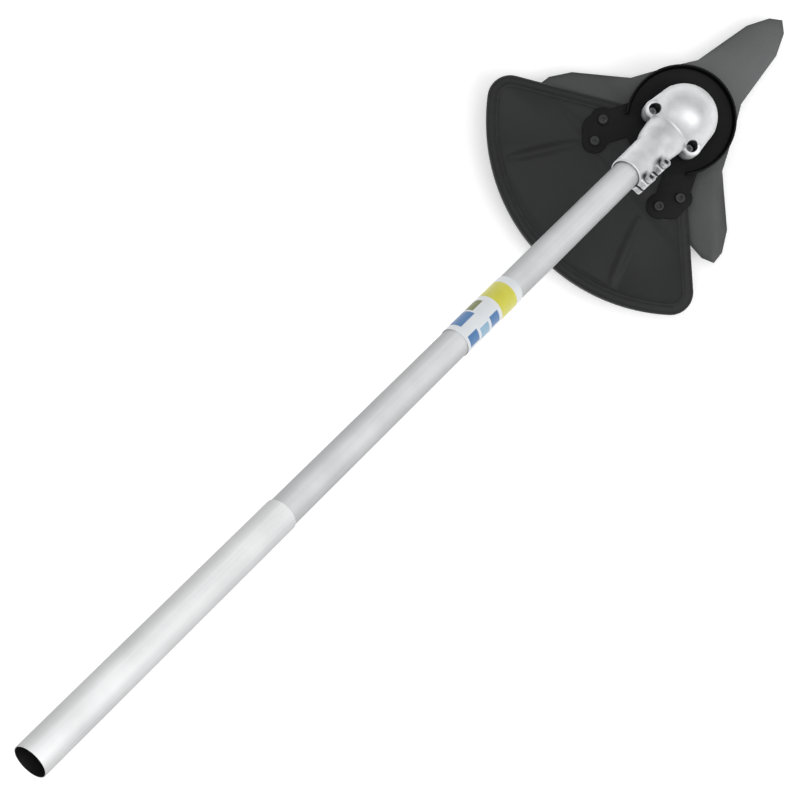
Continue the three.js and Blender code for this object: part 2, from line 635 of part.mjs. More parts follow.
// The guard's outline: a fan with round outer corners, hollowed to clear the gear case.
function fanShape(inset = 0) {
  const outer = GUARD_R - inset;
  const corner = GUARD_CORNER_R - inset;
  const cornerAngle = Math.asin(corner / (outer - corner));
  const edgeOffset = Math.asin(inset / (outer - corner));
  const half = GUARD_HALF_ANGLE - edgeOffset - cornerAngle;
  const shape = new THREE.Shape();
  const cornerCentre = (angle) => [
    GUARD_CENTRE_X + (outer - corner) * Math.cos(angle), (outer - corner) * Math.sin(angle)];
  const [first, last] = [Math.PI - half, Math.PI + half];
  const quarter = Math.PI / 2;
  shape.absarc(...cornerCentre(first), corner, first - quarter - cornerAngle, first, false);
  shape.absarc(GUARD_CENTRE_X, 0, outer, first, last, false);
  shape.absarc(...cornerCentre(last), corner, last, last + quarter + cornerAngle, false);
  shape.lineTo(GUARD_CENTRE_X, 0);
  return shape;
}

function guardShield() {
  const bottom = GUARD_TOP - SKIRT_DEPTH;
  const plate = slab(fanShape(), GUARD_BOTTOM, GUARD_TOP, FINE);
  const wall = slab(fanShape(), bottom, GUARD_BOTTOM + JOIN, FINE);
  const wallInside = slab(fanShape(GUARD_THICKNESS), bottom - PAST, GUARD_BOTTOM, FINE);
  const middleRelief = rod(DEEP_SKIRT_R, bottom - PAST, GUARD_TOP - SIDE_LIP_DEPTH, ROUND)
    .translate(GUARD_CENTRE_X, 0, 0);
  const ribs = [1, -1].map((side) => {
    const angle = Math.PI + side * RIB_ANGLE;
    const along = (r) => [GUARD_CENTRE_X + r * Math.cos(angle), r * Math.sin(angle)];
    const outline = stadium(along(RIB_START), along(GUARD_R - RIB_MARGIN), RIB_WIDTH / 2);
    return slab(outline, GUARD_TOP - JOIN, GUARD_TOP + RIB_HEIGHT);
  });
  const hollow = rod(GUARD_INNER_R, bottom, GUARD_TOP + PAST, ROUND);
  const holes = GUARD_SCREWS.map(([x, y]) =>
    rod(SCREW_R + GAP, bottom, GUARD_TOP + PAST, COARSE).translate(x, y, 0));
  const shell = carve([wall], [wallInside, middleRelief]);
  const fan = [plate, shell, ...ribs].map((piece) => piece.rotateZ(GUARD_TURN));
  return carve(fan, [hollow, ...holes]);
}

function guardScrew([x, y]) {
  const nutBottom = GUARD_BOTTOM - GAP - GUARD_NUT.height;
  return capScrew(BRACKET_TOP + GAP - nutBottom + SCREW_PAST_NUT).translate(x, y, BRACKET_TOP + GAP);
}

function guardNut([x, y]) {
  const top = GUARD_BOTTOM - GAP;
  const bottom = top - GUARD_NUT.height;
  const body = slab(polygon(6, GUARD_NUT.flats), bottom, top);
  const bore = rod(SCREW_R + GAP, bottom - PAST, top + PAST, COARSE);
  return carve([body], [bore]).translate(x, y, 0);
}

function shoulderScrew(side) {
  const length = SHOULDER_SEAT - BRACKET_BOTTOM + SCREW_PAST_NUT;
  return capScrew(length).translate(SHOULDER.x, side * SHOULDER.y, SHOULDER_SEAT + GAP);
}

function frontScrew() {
  return capScrew(FRONT_SCREW_LENGTH).rotateX(Math.PI).translate(FRONT_SCREW_X, 0, BRACKET_BOTTOM - GAP);
}

// ---------------------------------------------------------------- materials and assembly

function finish(color, roughness, metalness) {
  return () => new THREE.MeshStandardMaterial({ color, roughness, metalness });
}

const finishes = {
  tube: finish(0xd3d5d6, 0.35, 0.9),
  sleeve: finish(0xdadcdd, 0.4, 0.85),
  label: finish(0xe6d43a, 0.5, 0),
  casting: finish(0xc4c7c9, 0.42, 0.8),
  steel: finish(0x8d9194, 0.35, 0.95),
  zinc: finish(0xa9adb0, 0.35, 0.9),
  darkSteel: finish(0x2b2c2d, 0.5, 0.7),
  blade: finish(0x55595b, 0.5, 0.6),
  bracket: finish(0x18191a, 0.5, 0.3),
  guard: finish(0x2c2e30, 0.6, 0),
  rubber: finish(0x151515, 0.85, 0),
  brass: finish(0xb08d4a, 0.4, 0.9),
};

function add(group, name, geometry, material) {
  const mesh = new THREE.Mesh(geometry, finishes[material]());
  mesh.name = name;
  group.add(mesh);
}

function fillBoom(boom) {
  add(boom, 'boom_tube', boomTube(), 'tube');
  add(boom, 'coupling_sleeve', couplingSleeve(), 'sleeve');
  add(boom, 'sleeve_rivet', sleeveRivet(), 'zinc');
  add(boom, 'label_wrap', labelWrap(), 'label');
  add(boom, 'drive_shaft', driveShaft(), 'steel');
  BUSHING_AT.forEach((at, i) => add(boom, `shaft_bushing_${i + 1}`, shaftBushing(at), 'rubber'));
  add(boom, 'bevel_pinion', bevelPinion(), 'steel');
  add(boom, 'pinion_bearing_front', bearing(SMALL_BEARING, PINION_BEARING_AT[0]), 'steel');
  add(boom, 'pinion_bearing_rear', bearing(SMALL_BEARING, PINION_BEARING_AT[1]), 'steel');
  const retainingRing = circlip(PINION_RING_BORE_R, SMALL_BEARING.outer, PINION_RING_AT);
  add(boom, 'pinion_retaining_ring', retainingRing, 'zinc');
  CLAMP_AT.forEach((at, i) => add(boom, `clamp_screw_${i + 1}`, clampScrew(at), 'zinc'));
  add(boom, 'locating_screw', locatingScrew(), 'zinc');
  add(boom, 'grease_plug', greasePlug(), 'brass');
}

function fillHead(head) {
  const largeBearingLow = LARGE_BEARING_TOP - LARGE_BEARING.width;
  const ringLow = largeBearingLow - GAP - CIRCLIP_THICKNESS;
  add(head, 'gear_case', gearCase(), 'casting');
  add(head, 'top_bearing', bearing(SMALL_BEARING, TOP_BEARING_AT), 'steel');
  add(head, 'bottom_bearing', bearing(LARGE_BEARING, largeBearingLow), 'steel');
  const retainingRing = circlip(LARGE_RING_BORE_R, LARGE_BEARING.outer, ringLow);
  add(head, 'bearing_retaining_ring', retainingRing, 'zinc');
  add(head, 'shaft_seal', shaftSeal(), 'rubber');
  add(head, 'output_shaft', outputShaft(), 'steel');
  add(head, 'bevel_gear', bevelGear(), 'steel');
  add(head, 'blade_holder', bladeHolder(), 'steel');
  add(head, 'cutting_blade', cuttingBlade(), 'blade');
  add(head, 'clamp_washer', clampWasher(), 'zinc');
  add(head, 'gliding_cup', glidingCup(), 'zinc');
  add(head, 'blade_nut', bladeNut(), 'zinc');
  add(head, 'split_pin', splitPin(), 'zinc');
  add(head, 'guard_bracket', guardBracket(), 'bracket');
  add(head, 'bracket_screw_1', shoulderScrew(1), 'zinc');
  add(head, 'bracket_screw_2', shoulderScrew(-1), 'zinc');
  add(head, 'bracket_screw_3', frontScrew(), 'zinc');
  add(head, 'guard_shield', guardShield(), 'guard');
  GUARD_SCREWS.forEach((at, i) => {
    add(head, `guard_screw_${i + 1}`, guardScrew(at), 'darkSteel');
    add(head, `guard_nut_${i + 1}`, guardNut(at), 'darkSteel');
  });
}

const attachment = new THREE.Group();
const head = new THREE.Group();
head.position.set(BOOM_REACH * Math.cos(BOOM_SLOPE), 0, -BOOM_REACH * Math.sin(BOOM_SLOPE));
attachment.add(head);
const boom = new THREE.Group();
boom.rotation.y = -SHAFT_ANGLE;
head.add(boom);
fillHead(head);
fillBoom(boom);

export default attachment;
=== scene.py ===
"""The looks of a brush cutter attachment: boom, gear case, guard and blade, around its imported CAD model.

Shapes are drawn in millimetres in one of two local frames, and put into the row frame in metres:
HEAD is level, with its origin where the two shaft axes cross in the gear case.
BOOM has the same origin, +Z along the boom towards its open end, and +X on the boom's upper side.
"""

import json
import math

import bmesh
import bpy
import numpy as np
from mathutils import Matrix, Vector


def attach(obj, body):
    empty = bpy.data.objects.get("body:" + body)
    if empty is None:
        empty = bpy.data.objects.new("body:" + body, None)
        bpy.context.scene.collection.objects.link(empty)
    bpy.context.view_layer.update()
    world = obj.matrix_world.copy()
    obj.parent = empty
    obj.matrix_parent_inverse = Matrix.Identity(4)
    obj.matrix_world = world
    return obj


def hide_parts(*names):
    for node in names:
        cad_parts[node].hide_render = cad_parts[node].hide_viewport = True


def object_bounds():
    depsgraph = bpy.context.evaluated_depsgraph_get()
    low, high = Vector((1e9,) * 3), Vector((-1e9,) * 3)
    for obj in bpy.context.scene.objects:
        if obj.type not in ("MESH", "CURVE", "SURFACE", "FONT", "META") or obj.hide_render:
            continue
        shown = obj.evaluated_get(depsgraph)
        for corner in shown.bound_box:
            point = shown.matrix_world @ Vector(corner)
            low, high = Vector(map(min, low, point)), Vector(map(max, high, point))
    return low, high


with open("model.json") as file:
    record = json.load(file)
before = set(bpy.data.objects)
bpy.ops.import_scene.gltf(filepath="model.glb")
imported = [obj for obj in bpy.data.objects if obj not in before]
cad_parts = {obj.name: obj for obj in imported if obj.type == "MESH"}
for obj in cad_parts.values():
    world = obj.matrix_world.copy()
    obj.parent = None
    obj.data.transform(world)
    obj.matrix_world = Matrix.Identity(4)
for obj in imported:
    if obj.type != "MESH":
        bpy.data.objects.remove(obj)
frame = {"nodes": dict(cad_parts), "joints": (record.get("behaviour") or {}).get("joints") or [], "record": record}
cad_low, cad_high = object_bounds()

JOINTS = {joint["name"]: joint for joint in frame["joints"]}
CENTRE = Vector(JOINTS["blade_spin"]["pos_m"])
BOOM_AXIS = Vector(JOINTS["drive_spin"]["axis"]).normalized()
BOOM_LEAN = math.atan2(BOOM_AXIS.x, BOOM_AXIS.z)
HEAD = Matrix.Translation(CENTRE) @ Matrix.Scale(0.001, 4)
BOOM = HEAD @ Matrix.Rotation(BOOM_LEAN, 4, "Y")
TAU = 2 * math.pi

GAP = 0.3  # between pieces that touch
PAST = 1  # how far a shape that cuts or joins reaches past the face that it meets
JOIN = 0.2  # how far a shank reaches into its head
SCREW_R = 2.5
SCREW_HOLE = 2.8  # radius of the hole that a screw passes through
SCREW_HEAD = 5.0  # height of a socket-head screw's head
ROUND = 96  # sides of a large round piece
FINE = 48  # sides of a small one
SHARP_EDGE = math.radians(35)  # an edge that turns by more than this is rounded


# ---------------------------------------------------------------- shape tools


def extent(node, place):
    """The lowest and highest corner of a CAD node in a local frame, in millimetres."""
    inverse = place.inverted()
    points = np.array([inverse @ v.co for v in frame["nodes"][node].data.vertices])
    return Vector(points.min(0)), Vector(points.max(0))


def middle_of(node, place):
    """The middle of a CAD node's box in a local frame, in millimetres."""
    low, high = extent(node, place)
    return tuple((a + b) / 2 for a, b in zip(low, high))


def ramp(value, start, length):
    """0 up to start, 1 from length beyond it, and a straight rise between."""
    return min(1.0, max(0.0, (value - start) / length))


def filleted(corners, steps=4):
    """A closed outline from corners (a, b) or (a, b, radius). A corner with a radius becomes an arc."""
    outline = []
    count = len(corners)
    for i, corner in enumerate(corners):
        here = Vector(corner[:2])
        radius = corner[2] if len(corner) > 2 else 0
        if radius <= 0:
            outline.append(here)
            continue
        to_last = Vector(corners[i - 1][:2]) - here
        to_next = Vector(corners[(i + 1) % count][:2]) - here
        reach = 0.49 * min(to_last.length, to_next.length)
        to_last.normalize()
        to_next.normalize()
        half = to_last.angle(to_next) / 2
        cut = min(radius / math.tan(half), reach)
        centre = here + (to_last + to_next).normalized() * cut / math.cos(half)
        start = here + to_last * cut - centre
        end = here + to_next * cut - centre
        sweep = math.atan2(start.cross(end), start.dot(end))
        for step in range(steps + 1):
            outline.append(centre + Matrix.Rotation(sweep * step / steps, 2) @ start)
    return outline


def settled(bm):
    """Merges doubled points and turns the faces out."""
    bmesh.ops.remove_doubles(bm, verts=bm.verts, dist=1e-4)
    bmesh.ops.recalc_face_normals(bm, faces=bm.faces)
    return bm


def lathe(corners, sides=FINE, knurl=None):
    """A closed profile of (radius, height) corners turned about Z.

    knurl = (depth, low, high) notches every other line between the two heights.
    """
    outline = filleted(corners)
    bm = bmesh.new()
    rings = []
    for k in range(sides):
        c, s = math.cos(TAU * k / sides), math.sin(TAU * k / sides)
        ring = []
        for r, z in outline:
            notch = knurl[0] if knurl and k % 2 and knurl[1] < z < knurl[2] else 0
            ring.append(bm.verts.new(((r - notch) * c, (r - notch) * s, z)))
        rings.append(ring)
    for k in range(sides):
        here, there = rings[k], rings[(k + 1) % sides]
        for i in range(len(outline)):
            j = (i + 1) % len(outline)
            bm.faces.new((here[i], there[i], there[j], here[j]))
    return settled(bm)


def rod(radius, low, high, rounding=0.0, sides=FINE):
    return lathe([(0, low), (radius, low, rounding), (radius, high, rounding), (0, high)], sides)


def loft(rings):
    """A closed body through rings of the same number of points, each a list of (x, y, z)."""
    bm = bmesh.new()
    rows = [[bm.verts.new(point) for point in ring] for ring in rings]
    for here, there in zip(rows, rows[1:]):
        for i in range(len(here)):
            j = (i + 1) % len(here)
            bm.faces.new((here[i], here[j], there[j], there[i]))
    bm.faces.new(rows[0][::-1])
    bm.faces.new(rows[-1])
    return settled(bm)


def prism(outline, low, high, rounding=0.0):
    """An outline of (x, y) points drawn up from low to high, with its sharp edges rounded."""
    bm = loft([[(x, y, z) for x, y in outline] for z in (low, high)])
    if rounding:
        sharp = [e for e in bm.edges if e.calc_face_angle() > SHARP_EDGE]
        bmesh.ops.bevel(bm, geom=sharp, offset=rounding, segments=3, profile=0.5, affect="EDGES")
    return settled(bm)


def polygon(sides, across_flats):
    radius = across_flats / 2 / math.cos(math.pi / sides)
    angles = [(2 * i + 1) * math.pi / sides for i in range(sides)]
    return [Vector((radius * math.cos(a), radius * math.sin(a))) for a in angles]


def stadium(start, end, radius, steps=12):
    """A flat bar with round ends."""
    heading = math.atan2(end[1] - start[1], end[0] - start[0])
    points = []
    for (x, y), turn in ((end, -math.pi / 2), (start, math.pi / 2)):
        for step in range(steps + 1):
            angle = heading + turn + math.pi * step / steps
            points.append((x + radius * math.cos(angle), y + radius * math.sin(angle)))
    return points


def block(low, high, rounding=0.0):
    (x0, y0, z0), (x1, y1, z1) = low, high
    return prism([(x0, y0), (x1, y0), (x1, y1), (x0, y1)], z0, z1, rounding)


def threaded(radius, low, high, pitch=0.8, sides=24):
    """A rod with a helical thread, chamfered at its low end."""
    depth = 0.6 * pitch
    rows = math.ceil((high - low) / pitch * 6)
    rings = []
    for row in range(rows + 1):
        z = low + (high - low) * row / rows
        chamfer = max(0.0, depth - (z - low))
        ring = []
        for k in range(sides):
            phase = (z / pitch - k / sides) % 1
            r = radius - max(chamfer, depth * abs(2 * phase - 1))
            ring.append((r * math.cos(TAU * k / sides), r * math.sin(TAU * k / sides), z))
        rings.append(ring)
    return loft(rings)


def wire(points, radius, sides=12):
    """A round wire along a smooth line of points, with rounded ends."""
    points = [Vector(p) for p in points]
    normal = (points[1] - points[0]).orthogonal().normalized()
    rings = []
    for i, point in enumerate(points):
        along = (points[min(i + 1, len(points) - 1)] - points[max(i - 1, 0)]).normalized()
        normal = (normal - along * normal.dot(along)).normalized()
        side = along.cross(normal)
        shrink = 0.6 if i in (0, len(points) - 1) else 1
        ring = []
        for k in range(sides):
            c, s = math.cos(TAU * k / sides), math.sin(TAU * k / sides)
            ring.append(point + (normal * c + side * s) * radius * shrink)
        rings.append(ring)
    return loft(rings)


def moved(bm, matrix):
    bmesh.ops.transform(bm, matrix=matrix, verts=bm.verts)
    return bm


def shifted(bm, x=0.0, y=0.0, z=0.0):
    return moved(bm, Matrix.Translation((x, y, z)))


def turned_to(axis, low, high, radius):
    """A rod along an axis ("X" or "Y") from low to high."""
    quarter = {"X": Matrix.Rotation(math.pi / 2, 4, "Y"), "Y": Matrix.Rotation(-math.pi / 2, 4, "X")}
    return moved(rod(radius, low, high), quarter[axis])


def as_object(bm):
    mesh = bpy.data.meshes.new("shape")
    bm.to_mesh(mesh)
    bm.free()
    obj = bpy.data.objects.new("shape", mesh)
    bpy.context.scene.collection.objects.link(obj)
    return obj


def applied(obj):
    """The object with its modifiers made part of its mesh."""
    graph = bpy.context.evaluated_depsgraph_get()
    mesh = bpy.data.meshes.new_from_object(obj.evaluated_get(graph))
    old = obj.data
    obj.modifiers.clear()
    obj.data = mesh
    bpy.data.meshes.remove(old)
    return obj


def boolean(obj, bm, operation):
    tool = as_object(bm)
    modifier = obj.modifiers.new("boolean", "BOOLEAN")
    modifier.operation = operation
    modifier.solver = "MANIFOLD"
    modifier.object = tool
    applied(obj)
    mesh = tool.data
    bpy.data.objects.remove(tool)
    bpy.data.meshes.remove(mesh)
    return obj


def carved(joined, cuts=()):
    """The first shapes joined, and the others cut from them, as one object."""
    obj = as_object(joined[0])
    for bm in joined[1:]:
        boolean(obj, bm, "UNION")
    for bm in cuts:
        boolean(obj, bm, "DIFFERENCE")
    return obj


def as_bmesh(obj):
    bm = bmesh.new()
    bm.from_mesh(obj.data)
    mesh = obj.data
    bpy.data.objects.remove(obj)
    bpy.data.meshes.remove(mesh)
    return bm


# ---------------------------------------------------------------- materials


EDGE_WEAR_AND_SHADE_STARTS, EDGE_WEAR_AND_SHADE_FULL = 0.995, 0.93  # cosines of how far rounding an edge would turn the surface


class Nodes:
    """A small helper for drawing a material's nodes."""

    def __init__(self, name):
        self.material = bpy.data.materials.new(name)
        self.material.use_nodes = True
        self.tree = self.material.node_tree
        self.shader = self.tree.nodes["Principled BSDF"]

    def add(self, kind, inputs=None, **settings):
        node = self.tree.nodes.new(kind)
        for key, value in settings.items():
            setattr(node, key, value)
        for key, value in (inputs or {}).items():
            if isinstance(value, bpy.types.NodeSocket):
                self.tree.links.new(value, node.inputs[key])
            else:
                node.inputs[key].default_value = value
        return node

    def math(self, operation, a, b=0.0):
        return self.add("ShaderNodeMath", {0: a, 1: b}, operation=operation).outputs[0]

    def blend(self, a, b, share):
        """The share of a, and b for the rest."""
        return self.math("ADD", self.math("MULTIPLY", a, share), self.math("MULTIPLY", b, 1 - share))

    def axis(self, where, name):
        return self.add("ShaderNodeSeparateXYZ", {0: where}).outputs[name]

    def noise(self, where, scale, detail=3.0, roughness=0.5):
        inputs = {"Vector": where, "Scale": scale, "Detail": detail, "Roughness": roughness}
        return self.add("ShaderNodeTexNoise", inputs).outputs["Fac"]

    def spread(self, value, low, high, to_low=0.0, to_high=1.0):
        inputs = {"Value": value, "From Min": low, "From Max": high, "To Min": to_low, "To Max": to_high}
        return self.add("ShaderNodeMapRange", inputs, clamp=True).outputs["Result"]

    def mix(self, share, a, b):
        """From colour a to colour b. A colour mix has its colours in sockets 6 and 7, and its result in 2."""
        return self.add("ShaderNodeMix", {0: share, 6: a, 7: b}, data_type="RGBA").outputs[2]

    def place(self):
        return self.add("ShaderNodeTexCoord").outputs["Object"]

    def boom_place(self):
        """The point in the boom's own frame, in metres: Z runs along the boom."""
        moved_back = self.add("ShaderNodeVectorMath", {0: self.place(), 1: CENTRE}, operation="SUBTRACT")
        inputs = {"Vector": moved_back.outputs[0], "Angle": -BOOM_LEAN}
        return self.add("ShaderNodeVectorRotate", inputs, rotation_type="Y_AXIS").outputs[0]

    def stretched(self, where, x, y, z):
        return self.add("ShaderNodeVectorMath", {0: where, 1: (x, y, z)}, operation="MULTIPLY").outputs[0]

    def edge(self, radius):
        """1 on a sharp edge and 0 on a flat face."""
        bevel = self.add("ShaderNodeBevel", {"Radius": radius}, samples=4).outputs[0]
        normal = self.add("ShaderNodeNewGeometry").outputs["Normal"]
        dot = self.add("ShaderNodeVectorMath", {0: bevel, 1: normal}, operation="DOT_PRODUCT")
        return self.spread(dot.outputs["Value"], EDGE_WEAR_AND_SHADE_STARTS, EDGE_WEAR_AND_SHADE_FULL)

    def bump(self, height, strength, depth):
        inputs = {"Strength": strength, "Distance": depth, "Height": height}
        raised = self.add("ShaderNodeBump", inputs).outputs["Normal"]
        self.tree.links.new(raised, self.shader.inputs["Normal"])


BORE_SHADE = (0.006, 0.006, 0.006, 1.0)
BORE_SHADE_EDGE = 0.0001  # over how many metres the painted shade in a bore begins
FLANK_SHADE_FROM = 0.3  # how far out the painted shade on a tube's sides begins, as a share of where it is darkest
FLANK_SHADE_KEEPS = 0.52  # how much of its colour a tube keeps on its sides under the painted shade
REAR_SHADE_KEEPS = 0.5  # how much of its colour the blade keeps at its two rear teeth under the painted shade
REAR_SHADE_BEGINS, REAR_SHADE_ENDS = CENTRE.x + 0.05, CENTRE.x - 0.02  # where the painted shade on the blade begins and ends getting darker
HOLLOW_SHADE_KEEPS = 0.2  # how much of its colour a hollow keeps under the painted shade
EDGE_WEAR_AND_SHADE_SCALE = 160  # how fine the patches along an edge are, both of scuffing and of the guard's painted shade
MOST_EDGE_WEAR_AND_SHADE = 0.8


def tint(colour, factor):
    return tuple(min(1.0, c * factor) for c in colour) + (1.0,)


def mottled(n, shade, colour, variation, keep=1.0):
    """The share of the colour that is kept, made lighter and darker by the variation as the shade changes."""
    darkest, lightest = tint(colour, keep * (1 - variation)), tint(colour, keep * (1 + variation))
    return n.mix(n.spread(shade, 0.36, 0.64), darkest, lightest)


def finish(
    name,
    colour,
    metallic=0.0,
    roughness=(0.35, 0.5),
    variation=0.1,
    blotch=30,
    grain=900,
    grain_stretch=None,
    bump=0.15,
    bump_depth=0.00012,
    edge_wear_and_shade_colour=None,
    edge_radius=0.0006,
    along_boom=False,
    specular=0.5,
    bore=0.0,
    hollow_shade_reach=0.0,
    shades_rear_teeth=False,
    flank_shade=0.0,
):
    """A procedural surface: blotchy colour, a grain in roughness and bump, and a second colour along its edges:
    lighter scuffing on most surfaces, painted shade on the guard's rounded shoulder and rim.

    bore is the radius round the boom's axis inside which the surface is painted near-black and less metallic:
    painted shade for the tube's unlit inside.
    hollow_shade_reach is the reach over which painted shade darkens hollows.
    shades_rear_teeth paints shade on the blade, making its colour darker from the first tooth to the other two.
    flank_shade is how far from the boom's upright middle plane the painted shade on a tube's sides is darkest.
    """
    n = Nodes(name)
    where = n.boom_place() if along_boom else n.place()
    grain_where = n.stretched(where, *grain_stretch) if grain_stretch else where
    blotches = n.noise(where, blotch, detail=4)
    fine = n.noise(grain_where, grain, detail=4, roughness=0.6)
    shade = n.blend(blotches, fine, 0.65)
    base = mottled(n, shade, colour, variation)
    rough = n.spread(n.blend(fine, blotches, 0.6), 0.35, 0.65, *roughness)
    # painted shade: a tube's sides, away from its upright middle plane, get a darker colour where the light falls
    # away
    if flank_shade:
        off_middle = n.math("ABSOLUTE", n.axis(n.boom_place(), "Y"))
        painted_flank_shade = mottled(n, shade, colour, variation, FLANK_SHADE_KEEPS)
        base = n.mix(n.spread(off_middle, FLANK_SHADE_FROM * flank_shade, flank_shade), base, painted_flank_shade)
    # painted shade: the blade's colour darkens from its first tooth towards the other two
    if shades_rear_teeth:
        rear_teeth_shade_mask = n.spread(n.axis(where, "X"), REAR_SHADE_BEGINS, REAR_SHADE_ENDS)
        base = n.mix(rear_teeth_shade_mask, base, tint(colour, REAR_SHADE_KEEPS))
    # painted shade: hollows and inner corners are darkened by how enclosed they are
    if hollow_shade_reach:
        openness = n.add("ShaderNodeAmbientOcclusion", {"Distance": hollow_shade_reach}, samples=8).outputs["AO"]
        base = n.mix(n.spread(openness, 0.92, 0.4), base, tint(colour, HOLLOW_SHADE_KEEPS))
    # the edge colour: lighter scuffing on most surfaces, darker painted shade on the guard's rounded shoulder and
    # rim
    if edge_wear_and_shade_colour:
        edge_wear_and_shade_patches = n.spread(n.noise(where, EDGE_WEAR_AND_SHADE_SCALE, detail=5), 0.42, 0.62, 0, MOST_EDGE_WEAR_AND_SHADE)
        edge_wear_and_shade_mask = n.math("MULTIPLY", n.edge(edge_radius), edge_wear_and_shade_patches)
        if hollow_shade_reach:
            edge_wear_and_shade_mask = n.math("MULTIPLY", edge_wear_and_shade_mask, n.spread(openness, 0.8, 0.95))
        base = n.mix(edge_wear_and_shade_mask, base, tint(edge_wear_and_shade_colour, 1))
    n.shader.inputs["Metallic"].default_value = metallic
    # painted shade: inside the bore the colour is near-black and the metal is taken away, standing for the unlit
    # inside of the tube
    if bore:
        flat = n.stretched(n.boom_place(), 1, 1, 0)
        away = n.add("ShaderNodeVectorMath", {0: flat}, operation="LENGTH").outputs["Value"]
        inside = n.spread(away, bore, bore - BORE_SHADE_EDGE)
        base = n.mix(inside, base, BORE_SHADE)
        metal = n.math("MULTIPLY", n.math("SUBTRACT", 1.0, inside), metallic)
        n.tree.links.new(metal, n.shader.inputs["Metallic"])
    n.tree.links.new(base, n.shader.inputs["Base Color"])
    n.tree.links.new(rough, n.shader.inputs["Roughness"])
    n.shader.inputs["Specular IOR Level"].default_value = specular
    n.bump(fine, bump, bump_depth)
    return n.material


ALLOY = (0.74, 0.75, 0.76)
DRAWN = (700, 700, 9)  # a drawn tube's grain is long along the boom

SURFACES = {
    "boom_aluminium": finish("boom_aluminium", (0.70, 0.71, 0.72), 0.3, (0.42, 0.56), 0.08, 25, 1.0,
                             DRAWN, 0.12, 0.00004, along_boom=True, specular=0.2,
                             bore=0.011, flank_shade=0.0125),
    "sleeve_aluminium": finish("sleeve_aluminium", (0.83, 0.835, 0.84), 0.25, (0.44, 0.58), 0.08, 22, 1.0,
                               DRAWN, 0.14, 0.00004, along_boom=True, specular=0.2,
                               bore=0.0125, flank_shade=0.0145),
    "cast_alloy": finish("cast_alloy", ALLOY, 0.75, (0.44, 0.6), 0.1, 90, 1500,
                         bump=0.35, bump_depth=0.00016, edge_wear_and_shade_colour=(0.82, 0.82, 0.83), hollow_shade_reach=0.03),
    "bearing_steel": finish("bearing_steel", (0.5, 0.51, 0.53), 1.0, (0.18, 0.32), 0.08, 60, 1200,
                            bump=0.08, edge_wear_and_shade_colour=(0.75, 0.75, 0.77)),
    "zinc_steel": finish("zinc_steel", (0.56, 0.57, 0.585), 0.95, (0.28, 0.45), 0.12, 120, 1600,
                         bump=0.12, edge_wear_and_shade_colour=(0.8, 0.8, 0.81), edge_radius=0.0003, hollow_shade_reach=0.003),
    "dark_fasteners": finish("dark_fasteners", (0.028, 0.0285, 0.029), 0.7, (0.4, 0.55), 0.16, 120, 1600,
                             bump=0.15, edge_wear_and_shade_colour=(0.12, 0.12, 0.125), edge_radius=0.0003),
    "blade_steel": finish("blade_steel", (0.088, 0.09, 0.091), 0.3, (0.38, 0.54), 0.16, 22, 700,
                          bump=0.12, bump_depth=0.00008, edge_wear_and_shade_colour=(0.3, 0.3, 0.31), shades_rear_teeth=True),
    "bracket_paint": finish("bracket_paint", (0.0035, 0.0036, 0.0038), 0.0, (0.4, 0.52), 0.2, 60, 500,
                            bump=0.1, bump_depth=0.0001, edge_wear_and_shade_colour=(0.02, 0.02, 0.021), specular=0.12),
    # the guard's darker edge colour, over a wide edge radius, is painted shade along its rounded shoulder and rim
    "guard_plastic": finish("guard_plastic", (0.0145, 0.015, 0.0155), 0.0, (0.5, 0.64), 0.2, 26, 2200,
                            bump=0.4, bump_depth=0.00014, edge_wear_and_shade_colour=(0.004, 0.004, 0.0042), edge_radius=0.006,
                            specular=0.26),
    "black_rubber": finish("black_rubber", (0.018, 0.018, 0.0185), 0.0, (0.6, 0.78), 0.2, 90, 1800,
                           bump=0.3, bump_depth=0.0001),
    "plug_brass": finish("plug_brass", (0.6, 0.43, 0.19), 1.0, (0.26, 0.42), 0.1, 150, 1500,
                         bump=0.1, edge_wear_and_shade_colour=(0.75, 0.6, 0.33)),
}


INKS = {  # each ink's darkest and lightest tone
    "white": ((0.62, 0.65, 0.68, 1), (0.74, 0.76, 0.78, 1)),
    "yellow": ((0.50, 0.48, 0.04, 1), (0.66, 0.63, 0.07, 1)),
    "blue": ((0.05, 0.15, 0.34, 1), (0.09, 0.22, 0.45, 1)),
    "pale_blue": ((0.20, 0.36, 0.50, 1), (0.30, 0.46, 0.60, 1)),
    "olive": ((0.10, 0.12, 0.03, 1), (0.20, 0.22, 0.05, 1)),
}
PATCHES = [  # ink, start and end along the boom in metres, and the two angles round it in degrees
    ("blue", 0.329, 0.348, 26, 100),
    ("olive", 0.313, 0.327, 40, 110),
    ("blue", 0.311, 0.322, -66, -20),
    ("pale_blue", 0.325, 0.336, -72, -26),
    ("blue", 0.339, 0.351, -62, -16),
]
YELLOW_START, YELLOW_END = 0.286, 0.307
PRINT_EDGE = 0.0002  # softness of a printed edge along the boom, in metres
PRINT_EDGE_TURN = 0.02  # and round it, in radians
SCUFF_COLOUR = (0.6, 0.61, 0.62, 1)
SCUFF_SHARE = 0.5


